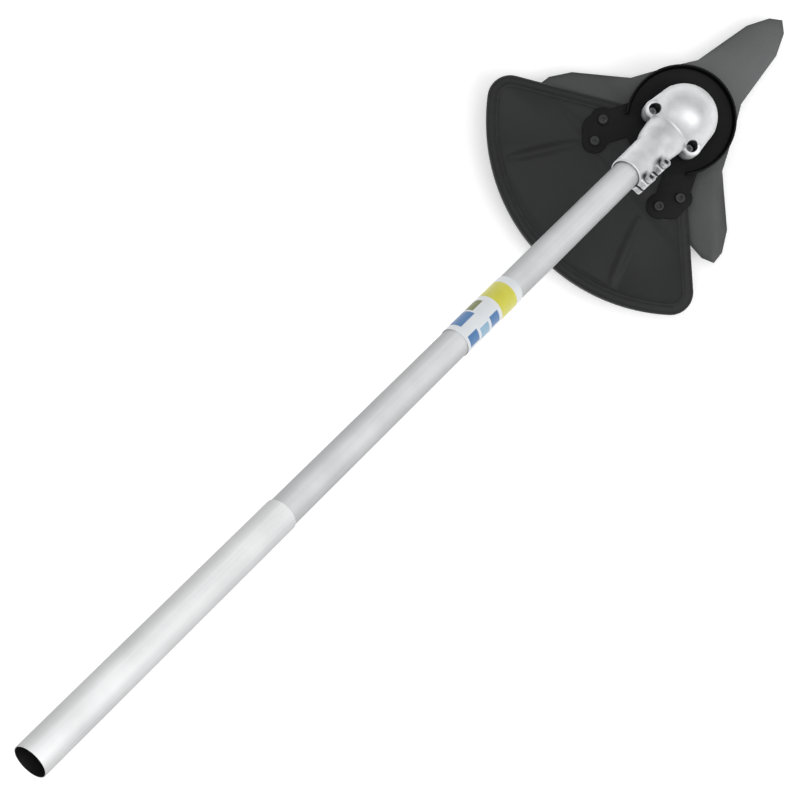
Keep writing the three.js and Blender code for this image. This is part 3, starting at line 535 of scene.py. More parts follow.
def label_surface():
    """Generic colour bands round the boom: a yellow block towards the head, then white with patches."""
    n = Nodes("label_band")
    where = n.boom_place()
    along = n.axis(where, "Z")
    round_angle = n.math("ARCTAN2", n.axis(where, "Y"), n.axis(where, "X"))
    fade = n.noise(where, 60, detail=4)

    def band(value, low, high, soft):
        rise = n.spread(value, low - soft, low + soft)
        fall = n.spread(value, high + soft, high - soft)
        return n.math("MULTIPLY", rise, fall)

    colour = n.mix(fade, *INKS["white"])
    for ink, start, end, low_deg, high_deg in PATCHES:
        length = band(along, start, end, PRINT_EDGE)
        width = band(round_angle, math.radians(low_deg), math.radians(high_deg), PRINT_EDGE_TURN)
        colour = n.mix(n.math("MULTIPLY", length, width), colour, n.mix(fade, *INKS[ink]))
    yellow = n.mix(fade, *INKS["yellow"])
    colour = n.mix(band(along, YELLOW_START, YELLOW_END, PRINT_EDGE), colour, yellow)
    scuffs = n.spread(n.noise(n.stretched(where, 260, 260, 40), 4.0, detail=5), 0.66, 0.74)
    colour = n.mix(n.math("MULTIPLY", scuffs, SCUFF_SHARE), colour, SCUFF_COLOUR)
    n.tree.links.new(colour, n.shader.inputs["Base Color"])
    n.tree.links.new(n.spread(fade, 0.3, 0.7, 0.28, 0.42), n.shader.inputs["Roughness"])
    n.shader.inputs["Coat Weight"].default_value = 0.2
    n.bump(n.noise(where, 700), 0.1, 0.0001)
    return n.material


SURFACES["label_band"] = label_surface()

SLOT_OF = {part["node"]: part["material_slot"] for part in frame["record"]["subparts"]}
BODY_OF = {}
for body, members in frame["record"]["behaviour"]["bodies"].items():
    for member in members:
        BODY_OF[member] = body
for node, obj in frame["nodes"].items():
    obj.data.materials.clear()
    obj.data.materials.append(SURFACES[SLOT_OF[node]])


def put(obj, node, place, smooth=40):
    """Puts a finished shape in the row frame, in place of the CAD node it stands for."""
    obj.name = f"{node}_finished"
    obj.data.transform(place)
    obj.data.materials.clear()
    obj.data.materials.append(SURFACES[SLOT_OF[node]])
    obj.data.polygons.foreach_set("material_index", [0] * len(obj.data.polygons))
    obj.data.shade_smooth()
    obj.data.set_sharp_from_angle(angle=math.radians(smooth))
    obj.data.update()
    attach(obj, BODY_OF[node])
    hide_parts(node)
    return obj


# ---------------------------------------------------------------- boom


TUBE_WALL = 1.5
LOCK_HOLE_R = 4
LOCK_HOLE_FROM_END = 30
RIVET_HOLE_R = 2.7
RIVET_SHANK_R = 2.4
RIVET_SHANK = 0.9
RIVET_HEAD = [(0, 0), (4, 0, 0.15), (3.6, 0.75, 0.5), (2.2, 1.15, 0.6), (0, 1.2)]
TUBE_EDGE, SLEEVE_EDGE, LABEL_EDGE = 0.35, 0.3, 0.1  # how much the ends' edges are rounded


def tube(inner, outer, low, high, rounding, cuts=()):
    section = [(inner, low), (outer, low), (outer, high), (inner, high)]
    return carved([lathe([(*corner, rounding) for corner in section], ROUND)], cuts)


low, high = extent("boom_tube", BOOM)
TUBE_R = high.x
BORE_R = TUBE_R + GAP  # radius of whatever goes round the tube
put(tube(TUBE_R - TUBE_WALL, TUBE_R, low.z, high.z, TUBE_EDGE), "boom_tube", BOOM)

low, high = extent("coupling_sleeve", BOOM)
SLEEVE_R = high.x
rivet_at = middle_of("sleeve_rivet", BOOM)[2]
sleeve_cuts = [
    shifted(turned_to("X", -SLEEVE_R - PAST, 0, LOCK_HOLE_R), z=high.z - LOCK_HOLE_FROM_END),
    shifted(turned_to("X", -SLEEVE_R - PAST, 0, RIVET_HOLE_R), z=rivet_at),
]
put(tube(BORE_R, SLEEVE_R, low.z, high.z, SLEEVE_EDGE, sleeve_cuts), "coupling_sleeve", BOOM)

low, high = extent("label_wrap", BOOM)
put(tube(BORE_R, high.x, low.z, high.z, LABEL_EDGE), "label_wrap", BOOM)


def rivet():
    """A domed rivet drawn along Z, head up, with its head's underside at 0."""
    return carved([lathe(RIVET_HEAD), rod(RIVET_SHANK_R, -RIVET_SHANK, JOIN, 0.1)])


put(rivet(), "sleeve_rivet", BOOM @ Matrix.Translation((-SLEEVE_R - GAP, 0, rivet_at))
    @ Matrix.Rotation(-math.pi / 2, 4, "Y"))


# ---------------------------------------------------------------- screws and nuts


SCREW_HEAD_R = 4.25
HEX_SOCKET = 4  # across its flats
HEX_SOCKET_FLOOR = 2.25
KNURL = (0.14, 0.5, 4.3)  # depth of the notches round a screw's head, and the heights they lie between
GUARD_NUT = {"across": 8, "bore": 2.8}
BLADE_NUT = {"across": 16, "bore": 5.3}
COUNTERSINK = 0.6


def cap_screw(shank):
    """A socket-head screw along Z, head up, with its head's underside at 0."""
    side = [(SCREW_HEAD_R, 0, 0.3), (SCREW_HEAD_R, SCREW_HEAD, 0.6)]
    head = lathe([(0, 0), *side, (0, SCREW_HEAD)], 60, knurl=KNURL)
    socket = prism(polygon(6, HEX_SOCKET), HEX_SOCKET_FLOOR, SCREW_HEAD + PAST)
    bottom, top = SCREW_HEAD - 0.25, SCREW_HEAD + 0.2
    flare = lathe([(0, bottom), (2.3, bottom), (2.7, top), (0, top)])
    return carved([head, threaded(SCREW_R, -shank, JOIN)], [socket, flare])


def put_screw(node, place):
    """Puts a socket-head screw where the node's own screw is, along the place's Z."""
    low, high = extent(node, place)
    middle = Matrix.Translation(((low.x + high.x) / 2, (low.y + high.y) / 2, high.z - SCREW_HEAD))
    put(cap_screw(high.z - SCREW_HEAD - low.z), node, place @ middle)


def hex_nut(across, height, bore):
    """A nut with chamfered corners, its top at 0."""
    flat = across / 2
    corner = flat / math.cos(math.pi / 6) + 0.1
    chamfer = 0.07 * across
    cone = lathe([(0, -height), (flat, -height), (corner, chamfer - height), (corner, -chamfer), (flat, 0),
                  (0, 0)])
    nut = as_object(prism(polygon(6, across), -height, 0))
    boolean(nut, cone, "INTERSECT")
    lower, upper = COUNTERSINK - height, -COUNTERSINK
    hole = lathe([(0, -height - PAST), (bore + 1, lower - 1), (bore, lower), (bore, upper),
                  (bore + 1, upper + 1), (0, PAST)])
    return boolean(nut, hole, "DIFFERENCE")


def put_nut(node, across, bore):
    low, high = extent(node, HEAD)
    middle = Matrix.Translation(((low.x + high.x) / 2, (low.y + high.y) / 2, high.z))
    put(hex_nut(across, high.z - low.z, bore), node, HEAD @ middle)


for i in range(1, 5):
    put_screw(f"guard_screw_{i}", HEAD)
    put_nut(f"guard_nut_{i}", **GUARD_NUT)
put_screw("bracket_screw_1", HEAD)
put_screw("bracket_screw_2", HEAD)
put_screw("bracket_screw_3", HEAD @ Matrix.Rotation(math.pi, 4, "X"))
put_screw("clamp_screw_1", BOOM @ Matrix.Rotation(math.pi / 2, 4, "Y"))
put_screw("clamp_screw_2", BOOM @ Matrix.Rotation(math.pi / 2, 4, "Y"))
put_screw("locating_screw", BOOM @ Matrix.Rotation(-math.pi / 2, 4, "Y"))


# ---------------------------------------------------------------- gear case


DOME_R, DOME_TOP, DOME_MIDDLE = 29, 42, 4
DOME_STEPS = 24
CASE_FACE = -26
BOSS_R, BOSS_BOTTOM = 21, -36
INTERIOR = [(0, BOSS_BOTTOM - PAST), (17.8, BOSS_BOTTOM - PAST), (17.8, -18.4), (16.5, -18.4), (16.5, 25.6),
            (13.3, 26.6), (13.3, 35.9), (0, 35.9)]

TOWER_R, TOWER_TOP = 8.5, 19
TOWERS = [(-14, 22.5), (-14, -22.5)]
POCKET_R, POCKET_SEAT = 5, -14
WEB_ENDS = [(7, 19.3), (7, -19.3)]  # where the wall from each tower runs into the dome
WEB_TOP = [(10, 0), (12, 0.5), (13.6, 1.5), (14.7, 3), (15, 5)]  # heights, and how far its sides draw in
FRONT_SCREW = (25.2, 0)
FRONT_HOLE_DEPTH = 11

NECK_END = 98
NECK = [(0, 4), (19, 4), (19, 34, 6), (17.5, 46, 6), (14.3, 57, 10), (14.3, NECK_END, 1), (0, NECK_END)]
PINION_BORE_R, PINION_BORE_LOW, PINION_BORE_HIGH = 13.3, 8, 51
TUBE_BORE_LOW = 50
MOUTH_DEPTH = 1.2
SLIT_HALF, SLIT_LOW = 1.2, 58
SLIT_OUTER, SLIT_INNER = -35, -5  # from outside the clamp's ears into the tube's bore

CLAMP_AT = [middle_of(f"clamp_screw_{i}", BOOM)[2] for i in (1, 2)]
CLAMP_OUT = 16.2
EAR_HALF = 6  # half of a clamp ear's length along the boom
EAR_LOW, EAR_HIGH = (-8, -20), (8, -10)
LOCATING_AT = middle_of("locating_screw", BOOM)[2]
PLUG_AT, PLUG_FACE = 28, 21
PLUG_BOSS_R, PLUG_BOSS_ROOT = 7.5, 15
PLUG_HOLE_R = 4.8
TO_BOOM = Matrix.Rotation(BOOM_LEAN, 4, "Y")

VOXEL = 0.55  # size of the grid on which the casting's shapes are melted together
SMOOTHING = 18  # rounds of smoothing, which softens the corners between them


def dome():
    corners = [(0, CASE_FACE), (28, CASE_FACE, 1.5), (DOME_R, -10, 8)]
    for step in range(DOME_STEPS + 1):
        angle = step / DOME_STEPS * math.pi / 2
        corners.append((DOME_R * math.cos(angle), DOME_MIDDLE + (DOME_TOP - DOME_MIDDLE) * math.sin(angle)))
    return lathe(corners, ROUND)


def web(tower, end):
    """The wall from a screw tower to the dome, with a round shoulder along its top."""
    rings = []
    for z, inset in [(CASE_FACE, 0), *WEB_TOP]:
        rings.append([(x, y, z) for x, y in stadium(tower, end, TOWER_R - inset)])
    return loft(rings)


def casting():
    """The outside of the gear case, cast in one with soft inner corners."""
    neck = lathe(NECK, ROUND)
    ears = [block((*EAR_LOW, at - EAR_HALF), (*EAR_HIGH, at + EAR_HALF), 1.5) for at in CLAMP_AT]
    plug_boss = moved(rod(PLUG_BOSS_R, PLUG_BOSS_ROOT, PLUG_FACE, 0.8),
                      Matrix.Translation((0, 0, PLUG_AT)) @ Matrix.Rotation(-math.pi / 2, 4, "Y"))
    along = [moved(bm, TO_BOOM) for bm in (neck, *ears, plug_boss)]
    towers = [shifted(rod(TOWER_R, CASE_FACE, TOWER_TOP, 2), x, y) for x, y in TOWERS]
    webs = [web(tower, end) for tower, end in zip(TOWERS, WEB_ENDS)]
    level = [dome(), rod(BOSS_R, BOSS_BOTTOM, CASE_FACE + PAST, 1, ROUND), *towers, *webs]
    bm = bmesh.new()
    for part in level + along:
        mesh = bpy.data.meshes.new("part")
        part.to_mesh(mesh)
        part.free()
        bm.from_mesh(mesh)
        bpy.data.meshes.remove(mesh)
    obj = as_object(bm)
    remesh = obj.modifiers.new("remesh", "REMESH")
    remesh.mode = "VOXEL"
    remesh.voxel_size = VOXEL
    remesh.use_smooth_shade = True
    smooth = obj.modifiers.new("smooth", "SMOOTH")
    smooth.factor = 0.5
    smooth.iterations = SMOOTHING
    return applied(obj)


def casting_cuts():
    """The bores, seats, holes and the clamp's slit, as one shape."""
    pockets = [shifted(rod(POCKET_R, POCKET_SEAT, DOME_TOP), x, y) for x, y in TOWERS]
    holes = [shifted(rod(SCREW_HOLE, CASE_FACE - PAST, POCKET_SEAT + PAST), x, y) for x, y in TOWERS]
    front = shifted(rod(SCREW_HOLE, CASE_FACE - PAST, CASE_FACE + FRONT_HOLE_DEPTH), *FRONT_SCREW)
    end = NECK_END + PAST
    mouth_low = NECK_END - MOUTH_DEPTH
    along = [
        rod(PINION_BORE_R, PINION_BORE_LOW, PINION_BORE_HIGH, 0, ROUND),
        rod(BORE_R, TUBE_BORE_LOW, end, 0, ROUND),
        lathe([(0, mouth_low), (BORE_R, mouth_low), (TUBE_R + 1.5, end), (0, end)], ROUND),
        block((-SLIT_HALF, SLIT_OUTER, SLIT_LOW), (SLIT_HALF, SLIT_INNER, end)),
        *[shifted(turned_to("X", -20, 20, SCREW_HOLE), y=-CLAMP_OUT, z=at) for at in CLAMP_AT],
        shifted(turned_to("X", -17, -5, SCREW_HOLE), z=LOCATING_AT),
        shifted(turned_to("X", -PLUG_FACE - PAST, -8, PLUG_HOLE_R), z=PLUG_AT),
    ]
    level = [lathe(INTERIOR, ROUND), *pockets, *holes, front]
    return as_bmesh(carved(level + [moved(bm, TO_BOOM) for bm in along]))


put(boolean(casting(), casting_cuts(), "DIFFERENCE"), "gear_case", HEAD, smooth=50)

PLUG_ACROSS, PLUG_HEIGHT = 13, 4
PLUG_CHAMFER = [(0, 0), (7.6, 0), (7.6, 3.2), (6.5, PLUG_HEIGHT), (0, PLUG_HEIGHT)]
PLUG_SOCKET, PLUG_SOCKET_FLOOR = 5, 2
PLUG_THREAD = {"radius": 4.5, "low": -6.5, "high": 0.4, "pitch": 1.0, "sides": 32}


def grease_plug():
    """A hexagon plug along Z, head up, with its head's underside at 0."""
    head = as_object(prism(polygon(6, PLUG_ACROSS), 0, PLUG_HEIGHT))
    boolean(head, lathe(PLUG_CHAMFER), "INTERSECT")
    boolean(head, threaded(**PLUG_THREAD), "UNION")
    return boolean(head, prism(polygon(6, PLUG_SOCKET), PLUG_SOCKET_FLOOR, PLUG_HEIGHT + PAST), "DIFFERENCE")


put(grease_plug(), "grease_plug", BOOM @ Matrix.Translation((-PLUG_FACE - GAP, 0, PLUG_AT))
    @ Matrix.Rotation(-math.pi / 2, 4, "Y"))


# ---------------------------------------------------------------- guard bracket


SHEET = 2
BRACKET_R, BRACKET_BORE = 48, 21.3
BRACKET_BOTTOM = extent("guard_bracket", HEAD)[0].z
BRACKET_TOP = BRACKET_BOTTOM + SHEET
RIM_TOP = extent("guard_bracket", HEAD)[1].z
OPEN_HALF = math.radians(52)  # half of the angle over which the rim is open, towards the boom
OPEN_REACH = 70
WING_R = 11
WING_ROOT = {"start": (-26, 30), "end": (-56, 45), "r": 14}
GUARD_SCREWS = [sum(extent(f"guard_screw_{i}", HEAD), Vector()) / 2 for i in range(1, 5)]


def wings(side):
    """The two flat bars that carry the guard's screws on one side."""
    first, second = [(p.x, p.y) for p in GUARD_SCREWS if p.y * side > 0]
    (x0, y0), (x1, y1) = WING_ROOT["start"], WING_ROOT["end"]
    root = stadium((x0, side * y0), (x1, side * y1), WING_ROOT["r"])
    tip = stadium(first, second, WING_R)
    return [prism(outline, BRACKET_BOTTOM, BRACKET_TOP, 0.5) for outline in (tip, root)]


def bracket():
    """A pressed steel dish with a raised rim, open at the back, and two wings for the guard's screws."""
    inside = BRACKET_R - SHEET
    dish = lathe([
        (BRACKET_BORE, BRACKET_BOTTOM, 0.3), (BRACKET_R, BRACKET_BOTTOM, 2.2), (BRACKET_R, RIM_TOP, 0.9),
        (inside, RIM_TOP, 0.9), (inside, BRACKET_TOP, 1.6), (BRACKET_BORE, BRACKET_TOP, 0.3),
    ], ROUND)
    back, out = -OPEN_REACH * math.cos(OPEN_HALF), OPEN_REACH * math.sin(OPEN_HALF)
    opening = prism([(0, 0), (back, out), (-OPEN_REACH * 1.2, 0), (back, -out)], BRACKET_TOP, RIM_TOP + PAST)
    through = (BRACKET_BOTTOM - PAST, BRACKET_TOP + PAST)
    spots = [(p.x, p.y) for p in GUARD_SCREWS] + TOWERS + [FRONT_SCREW]
    holes = [rod(BRACKET_BORE, *through, 0, ROUND)]
    holes += [shifted(rod(SCREW_HOLE, *through), x, y) for x, y in spots]
    obj = boolean(as_object(dish), opening, "DIFFERENCE")
    for wing in wings(1) + wings(-1):
        boolean(obj, wing, "UNION")
    for hole in holes:
        boolean(obj, hole, "DIFFERENCE")
    return obj


put(bracket(), "guard_bracket", HEAD)


# ---------------------------------------------------------------- guard


GUARD_R = 171.5
GUARD_HALF = math.radians(54.5)
GUARD_TURN = math.radians(-5)
GUARD_APEX = Vector((-3, 0))  # the fan's own centre, with the fan drawn along +X
GUARD_CORNER = 20
GUARD_INNER = 34
GUARD_TOP = BRACKET_BOTTOM - GAP
PLATE = 3
FLANGE = PLATE + 0.5  # how deep the fan's edge is at its inner end
SIDE_LIP = 9
SKIRT = 25
SKIRT_FROM, SKIRT_RISE = 138, 14  # how far out the side lip begins to deepen, and over what length
TOP_EDGE_R = 4.5
BEAD = ((7.0, 0), (7.7, 0.5), (8.6, 0.9), (9.6, 0.9), (10.5, 0.5), (11.2, 0))  # insets and heights
INNER_STEPS, SIDE_STEPS, CORNER_STEPS, RIM_STEPS = 24, 30, 14, 32

RIB_TURN = math.radians(27)
RIB_START, RIB_FROM_RIM = 92, 14
RIB_STEPS, RIB_SECTION_STEPS = 40, 16


def heading(angle):
    return Vector((math.cos(angle), math.sin(angle)))


def fan(inset):
    """The guard's outline moved in by inset, as points and their skirt depths.

    Every inset gives the same number of points.
    """
    side = heading(GUARD_HALF)
    inward = Vector((side.y, -side.x))
    ring_r = GUARD_R - GUARD_CORNER
    corner = GUARD_APEX + inward * GUARD_CORNER + side * math.sqrt(ring_r ** 2 - GUARD_CORNER ** 2)
    start = GUARD_APEX + inward * inset
    reach = GUARD_INNER + inset
    along = -start.dot(side) + math.sqrt(start.dot(side) ** 2 - start.length_squared + reach ** 2)
    inner_end = start + side * along
    side_end = corner - inward * (GUARD_CORNER - inset)
    half = []
    inner_angle = math.atan2(inner_end.y, inner_end.x)
    for step in range(INNER_STEPS):
        half.append((heading(inner_angle * (step + 0.5) / INNER_STEPS) * reach, FLANGE))
    for step in range(SIDE_STEPS + 1):
        point = inner_end.lerp(side_end, step / SIDE_STEPS)
        rise = ramp((point - GUARD_APEX).length, SKIRT_FROM, SKIRT_RISE)
        lip = FLANGE + (SIDE_LIP - FLANGE) * ramp(step, 0, 5)
        half.append((point, lip + (SKIRT - SIDE_LIP) * rise * rise * (3 - 2 * rise)))
    first = math.atan2(-inward.y, -inward.x)
    last = math.atan2(corner.y - GUARD_APEX.y, corner.x - GUARD_APEX.x)
    for step in range(1, CORNER_STEPS + 1):
        angle = first + (last - first) * step / CORNER_STEPS
        half.append((corner + heading(angle) * (GUARD_CORNER - inset), SKIRT))
    for step in range(1, RIM_STEPS):
        angle = last * (1 - (step - 0.5) / RIM_STEPS)
        half.append((GUARD_APEX + heading(angle) * (GUARD_R - inset), SKIRT))
    return half + [(Vector((p.x, -p.y)), depth) for p, depth in reversed(half)]


def fan_ring(inset, height):
    """A ring round the fan. height gives z from the point's skirt depth."""
    return [(p.x, p.y, height(depth)) for p, depth in fan(inset)]


def guard_rib(side):
    """A low, soft-sided stiffening rib along the guard's top."""
    rings = []
    for k in range(RIB_STEPS + 1):
        t = k / RIB_STEPS
        away = RIB_START + (GUARD_R - RIB_FROM_RIM - RIB_START) * t
        swell = math.sin(math.pi * t) ** 0.5
        tall, wide = 0.05 + 2.1 * swell, 4 + 3.2 * swell
        ring = []
        for j in range(RIB_SECTION_STEPS + 1):
            across = j / RIB_SECTION_STEPS * 2 - 1
            lift = (0.5 + 0.5 * math.cos(math.pi * across)) * tall
            ring.append((away, across * wide, GUARD_TOP - 0.02 + lift))
        ring += [(away, wide, GUARD_TOP - PAST), (away, -wide, GUARD_TOP - PAST)]
        rings.append(ring)
    turn = Matrix.Rotation(side * RIB_TURN, 4, "Z")
    return moved(loft(rings), Matrix.Translation(GUARD_APEX.to_3d()) @ turn)


def guard():
    """A moulded fan with a deep outer skirt, shallow side lips and a raised bead inside its rim."""
    under = GUARD_TOP - PLATE
    rings = [
        fan_ring(PLATE + 4, lambda d: under),
        fan_ring(PLATE + 1.2, lambda d: under - 0.1),
        fan_ring(PLATE + 0.3, lambda d: under - min(1.2, (d - PLATE) * 0.5)),
        fan_ring(PLATE - 0.2, lambda d: GUARD_TOP - d + 0.2),
        fan_ring(PLATE - 0.7, lambda d: GUARD_TOP - d),
        fan_ring(0.7, lambda d: GUARD_TOP - d),
        fan_ring(0.1, lambda d: GUARD_TOP - d + 0.4),
    ]
    for step in range(7):
        angle = step / 6 * math.pi / 2
        inset, drop = TOP_EDGE_R * (1 - math.cos(angle)), 1 - math.sin(angle)
        rings.append(fan_ring(inset, lambda d: GUARD_TOP - drop * min(TOP_EDGE_R, d * 0.6)))
    for inset, lift in BEAD:
        rings.append(fan_ring(inset, lambda d: GUARD_TOP + lift * min(1, (d - FLANGE) / 5)))
    turn = Matrix.Rotation(math.pi + GUARD_TURN, 4, "Z")
    obj = as_object(moved(loft(rings), turn))
    for side in (1, -1):
        boolean(obj, moved(guard_rib(side), turn), "UNION")
    for p in GUARD_SCREWS:
        boolean(obj, shifted(rod(SCREW_HOLE, GUARD_TOP - 10, GUARD_TOP + 5), p.x, p.y), "DIFFERENCE")
    return obj


put(guard(), "guard_shield", HEAD)


# ---------------------------------------------------------------- cutter


BLADE_TOP = extent("cutting_blade", HEAD)[1].z
BLADE_BOTTOM = extent("cutting_blade", HEAD)[0].z
BLADE_TIP = 127.5
BLADE_BORE_R = 12.7
TEETH = 3
TOOTH_HALF = [(50.7, 27.2), (102, 18.6), (120.4, 9.3)]
WAIST = 50  # how far out the curve between two teeth is pulled
WAIST_STEPS = 20
EDGE_STEP = 6  # the spacing of points along a tooth's edge
GRIND_WIDTH = 4
GRIND_FROM, GRIND_RISE = 56, 16  # how far out the grind begins to deepen, and over what length
GRIND_DEPTH, LEAST_GRIND = 1.15, 0.15


def blade_outline():
    """Pointed teeth joined by hollow curves."""
    corners = [(x, -y) for x, y in TOOTH_HALF] + [(BLADE_TIP, 0)] + TOOTH_HALF[::-1]
    outline = []
    for tooth in range(TEETH):
        turn = Matrix.Rotation(tooth * TAU / TEETH, 2)
        edge = [turn @ Vector(c) for c in corners]
        for start, end in zip(edge, edge[1:]):
            steps = max(2, round((end - start).length / EDGE_STEP))
            outline += [start.lerp(end, k / steps) for k in range(steps)]
        start = edge[-1]
        waist = Matrix.Rotation((tooth + 0.5) * TAU / TEETH, 2) @ Vector((WAIST, 0))
        end = Matrix.Rotation((tooth + 1) * TAU / TEETH, 2) @ Vector(corners[0])
        for k in range(WAIST_STEPS):
            t = k / WAIST_STEPS
            outline.append(start * (1 - t) ** 2 + waist * 2 * t * (1 - t) + end * t * t)
    return outline


def blade():
    """A flat plate whose teeth are ground to an edge from above."""
    bm = loft([[(p.x, p.y, z) for p in blade_outline()] for z in (BLADE_BOTTOM, BLADE_TOP)])
    top = max((f for f in bm.faces if len(f.verts) > 4), key=lambda f: f.calc_center_median().z)
    rim = {(round(v.co.x, 2), round(v.co.y, 2)) for v in top.verts}
    bmesh.ops.inset_region(bm, faces=[top], thickness=GRIND_WIDTH, use_even_offset=True)
    for vert in bm.verts:
        if vert.co.z < BLADE_TOP - 0.1 or (round(vert.co.x, 2), round(vert.co.y, 2)) not in rim:
            continue
        away = math.hypot(vert.co.x, vert.co.y)
        vert.co.z -= LEAST_GRIND + GRIND_DEPTH * ramp(away, GRIND_FROM, GRIND_RISE)
    obj = as_object(settled(bm))
    bore = rod(BLADE_BORE_R, BLADE_BOTTOM - PAST, BLADE_TOP + PAST, 0, ROUND)
    return boolean(obj, bore, "DIFFERENCE")


put(blade(), "cutting_blade", HEAD, smooth=25)

SPLINE_BORE_R = 6.5
SPIGOT_R = 12.4
HOLDER_R = 25
HOLDER_TOP = BOSS_BOTTOM - 1.1
HOLDER_BOTTOM = BLADE_TOP + GAP
SPIGOT_BOTTOM = BLADE_BOTTOM + GAP
THREAD_BORE_R = 5.3
WASHER_R = 21
WASHER_TOP = BLADE_BOTTOM - GAP
WASHER_BOTTOM = WASHER_TOP - 2.7
CUP_R = 32
CUP_TOP = WASHER_BOTTOM - GAP
CUP_BOTTOM = -65

holder = lathe([
    (SPLINE_BORE_R, SPIGOT_BOTTOM, 0.2), (SPIGOT_R, SPIGOT_BOTTOM, 0.3), (SPIGOT_R, HOLDER_BOTTOM, 0.2),
    (HOLDER_R, HOLDER_BOTTOM, 0.4), (HOLDER_R, HOLDER_BOTTOM + 2.6, 0.5), (23.2, HOLDER_BOTTOM + 3.2, 0.5),
    (14, HOLDER_BOTTOM + 3.2, 0.8), (14, HOLDER_TOP, 0.4), (SPLINE_BORE_R, HOLDER_TOP, 0.2),
], ROUND)
put(as_object(holder), "blade_holder", HEAD)

washer = lathe([
    (THREAD_BORE_R, WASHER_BOTTOM, 0.3), (20, WASHER_BOTTOM, 0.6), (WASHER_R, WASHER_BOTTOM + 1, 0.5),
    (WASHER_R, WASHER_TOP, 0.4), (THREAD_BORE_R, WASHER_TOP, 0.3),
], ROUND)
put(as_object(washer), "clamp_washer", HEAD)

cup = lathe([
    (THREAD_BORE_R, CUP_TOP), (13.2, CUP_TOP, 2), (15.2, CUP_BOTTOM + 7, 3), (17.8, CUP_BOTTOM + 2, 1.5),
    (21.6, CUP_BOTTOM + 2, 1.5), (27.6, CUP_BOTTOM + 7.5, 4), (30, CUP_TOP - 2, 0.8), (30, CUP_TOP, 0.3),
    (CUP_R, CUP_TOP, 0.6), (CUP_R, CUP_TOP - 2, 0.8), (29.6, CUP_BOTTOM + 6.5, 5), (22.4, CUP_BOTTOM, 2.5),
    (17, CUP_BOTTOM, 2.5), (13.3, CUP_BOTTOM + 6, 3), (11.5, CUP_TOP - 2, 1), (THREAD_BORE_R, CUP_TOP - 2),
], ROUND)
put(as_object(cup), "gliding_cup", HEAD)

put_nut("blade_nut", **BLADE_NUT)

SHAFT_THREAD_R, SHAFT_PITCH = 5, 1.25
SHAFT_BOTTOM, SHAFT_THREAD_TOP = -63.5, -46
SPLINE_R, SPLINE_TOP = 6.2, HOLDER_TOP + GAP
SHAFT_R, SHAFT_SHOULDER = 7.5, 12.7
GEAR_SEAT_R, GEAR_SEAT_TOP = 6, 27.3
TOP_JOURNAL_R, SHAFT_TOP = 5, 35.3
SPLIT_PIN_AT = -61.2
SPLIT_PIN_R = 0.42
SPLIT_PIN_HOLE_R = 1.2
LEG = [(3.4, 6.9), (2.6, 7.1), (1.7, 6.9), (0.9, 6.4), (0.5, 5.6), (0.48, 3), (0.48, 0), (0.48, -4),
       (0.5, -6)]  # one leg of the split pin, from its spread tip to its eye
EYE_R, EYE_AT = 1.35, -7.4
EYE_STEPS = 12


def output_shaft():
    """The shaft that carries the blade, threaded at its lower end, with a cross hole for the split pin."""
    body = lathe([
        (0, SHAFT_THREAD_TOP - 1.5), (SPLINE_R, SHAFT_THREAD_TOP), (SPLINE_R, SPLINE_TOP),
        (SHAFT_R, SPLINE_TOP), (SHAFT_R, SHAFT_SHOULDER, 0.4), (GEAR_SEAT_R, SHAFT_SHOULDER),
        (GEAR_SEAT_R, GEAR_SEAT_TOP), (TOP_JOURNAL_R, GEAR_SEAT_TOP), (TOP_JOURNAL_R, SHAFT_TOP, 0.4),
        (0, SHAFT_TOP),
    ])
    thread = threaded(SHAFT_THREAD_R, SHAFT_BOTTOM, SHAFT_THREAD_TOP, SHAFT_PITCH, 32)
    pin_hole = shifted(turned_to("Y", -10, 10, SPLIT_PIN_HOLE_R), z=SPLIT_PIN_AT)
    return carved([body, thread], [pin_hole])


put(output_shaft(), "output_shaft", HEAD)


def split_pin():
    """Two legs through the shaft, an eye at one end and the legs spread at the other."""
    leg = [(x, y, 0) for x, y in LEG]
    eye = []
    for k in range(1, EYE_STEPS):
        angle = math.radians(60 - 300 * k / EYE_STEPS)
        eye.append((EYE_R * math.sin(angle), EYE_R * math.cos(angle) + EYE_AT, 0))
    line = leg + eye + [(-x, y, z) for x, y, z in reversed(leg)]
    return moved(wire(line, SPLIT_PIN_R), Matrix.Translation((0, 0, SPLIT_PIN_AT)))


put(as_object(split_pin()), "split_pin", HEAD)


# ---------------------------------------------------------------- stage, light and camera


WHITE = (1, 1, 1, 1)
FLOOR_DARK, FLOOR_LIGHT = (0.86, 0.86, 0.86, 1), (0.89, 0.89, 0.89, 1)
FLOOR_GLOW = 0.3
FLOOR_HALF = 6.0
FLOOR_DROP = 0.0005  # how far the floor is below the lowest piece
WORLD_LIGHT = 0.45


def floor_surface():
    n = Nodes("pale_floor")
    soft = n.noise(n.place(), 2.5, detail=3)
    n.tree.links.new(n.mix(soft, FLOOR_DARK, FLOOR_LIGHT), n.shader.inputs["Base Color"])
    n.tree.links.new(n.spread(soft, 0.3, 0.7, 0.7, 0.85), n.shader.inputs["Roughness"])
    n.shader.inputs["Specular IOR Level"].default_value = 0.1
    n.shader.inputs["Emission Color"].default_value = WHITE
    n.shader.inputs["Emission Strength"].default_value = FLOOR_GLOW
    return n.material


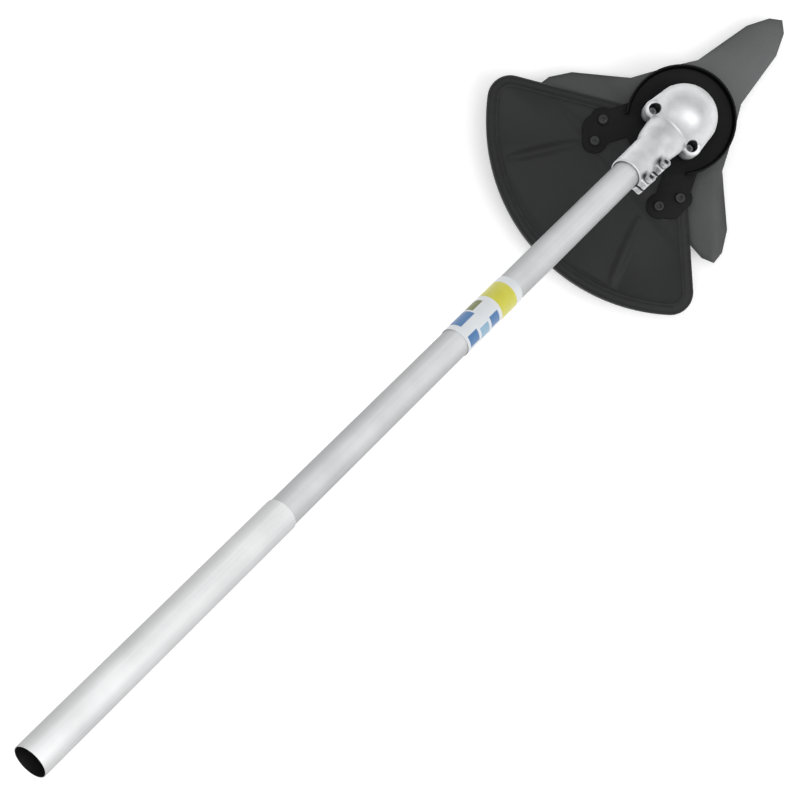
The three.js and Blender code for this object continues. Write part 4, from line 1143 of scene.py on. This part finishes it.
bm = bmesh.new()
bmesh.ops.create_grid(bm, x_segments=24, y_segments=24, size=FLOOR_HALF)
floor = as_object(bm)
floor.name = "floor"
floor.data.transform(Matrix.Translation((CENTRE.x, 0, cad_low.z - FLOOR_DROP)))
floor.data.materials.append(floor_surface())

MIDDLE = (cad_low + cad_high) / 2


def softbox(name, offset, size, power):
    """A square area light at an offset from the object's middle, turned towards it."""
    data = bpy.data.lights.new(name, "AREA")
    data.shape = "RECTANGLE"
    data.size = data.size_y = size
    data.energy = power
    lamp = bpy.data.objects.new(name, data)
    bpy.context.scene.collection.objects.link(lamp)
    lamp.location = MIDDLE + Vector(offset)
    lamp.rotation_mode = "QUATERNION"
    lamp.rotation_quaternion = (MIDDLE - lamp.location).to_track_quat("-Z", "Y")
    lamp.visible_camera = False


softbox("key", (0.5, -1.7, 2.2), 1.8, 32)
softbox("top", (0.3, 0.2, 3.0), 2.6, 36)
softbox("fill", (-1.4, 1.9, 1.6), 1.6, 9)

world = bpy.data.worlds.new("studio")
world.use_nodes = True
background = world.node_tree.nodes["Background"]
background.inputs["Color"].default_value = WHITE
background.inputs["Strength"].default_value = WORLD_LIGHT
bpy.context.scene.world = world
bpy.context.scene.view_settings.view_transform = "Standard"

CAMERA_FROM_BLADE = Vector((-0.2431, 0.0017, 1.8491))
CAMERA_UP = Vector((0.70036, 0.71262, -0.04061))
CAMERA_BACK = Vector((0.05577, 0.00209, 0.99844))
SENSOR, LENS = 36, 93.6

camera_data = bpy.data.cameras.new("camera")
camera_data.sensor_width = SENSOR
camera_data.lens = LENS
camera = bpy.data.objects.new("camera", camera_data)
bpy.context.scene.collection.objects.link(camera)
back = CAMERA_BACK.normalized()
right = CAMERA_UP.cross(back).normalized()
up = back.cross(right)
turn = Matrix((right, up, back)).transposed().to_4x4()
blade_centre = CENTRE + Vector((0, 0, (BLADE_TOP + BLADE_BOTTOM) / 2000))
camera.matrix_world = Matrix.Translation(blade_centre + CAMERA_FROM_BLADE) @ turn
bpy.context.scene.camera = camera

bpy.context.view_layer.update()
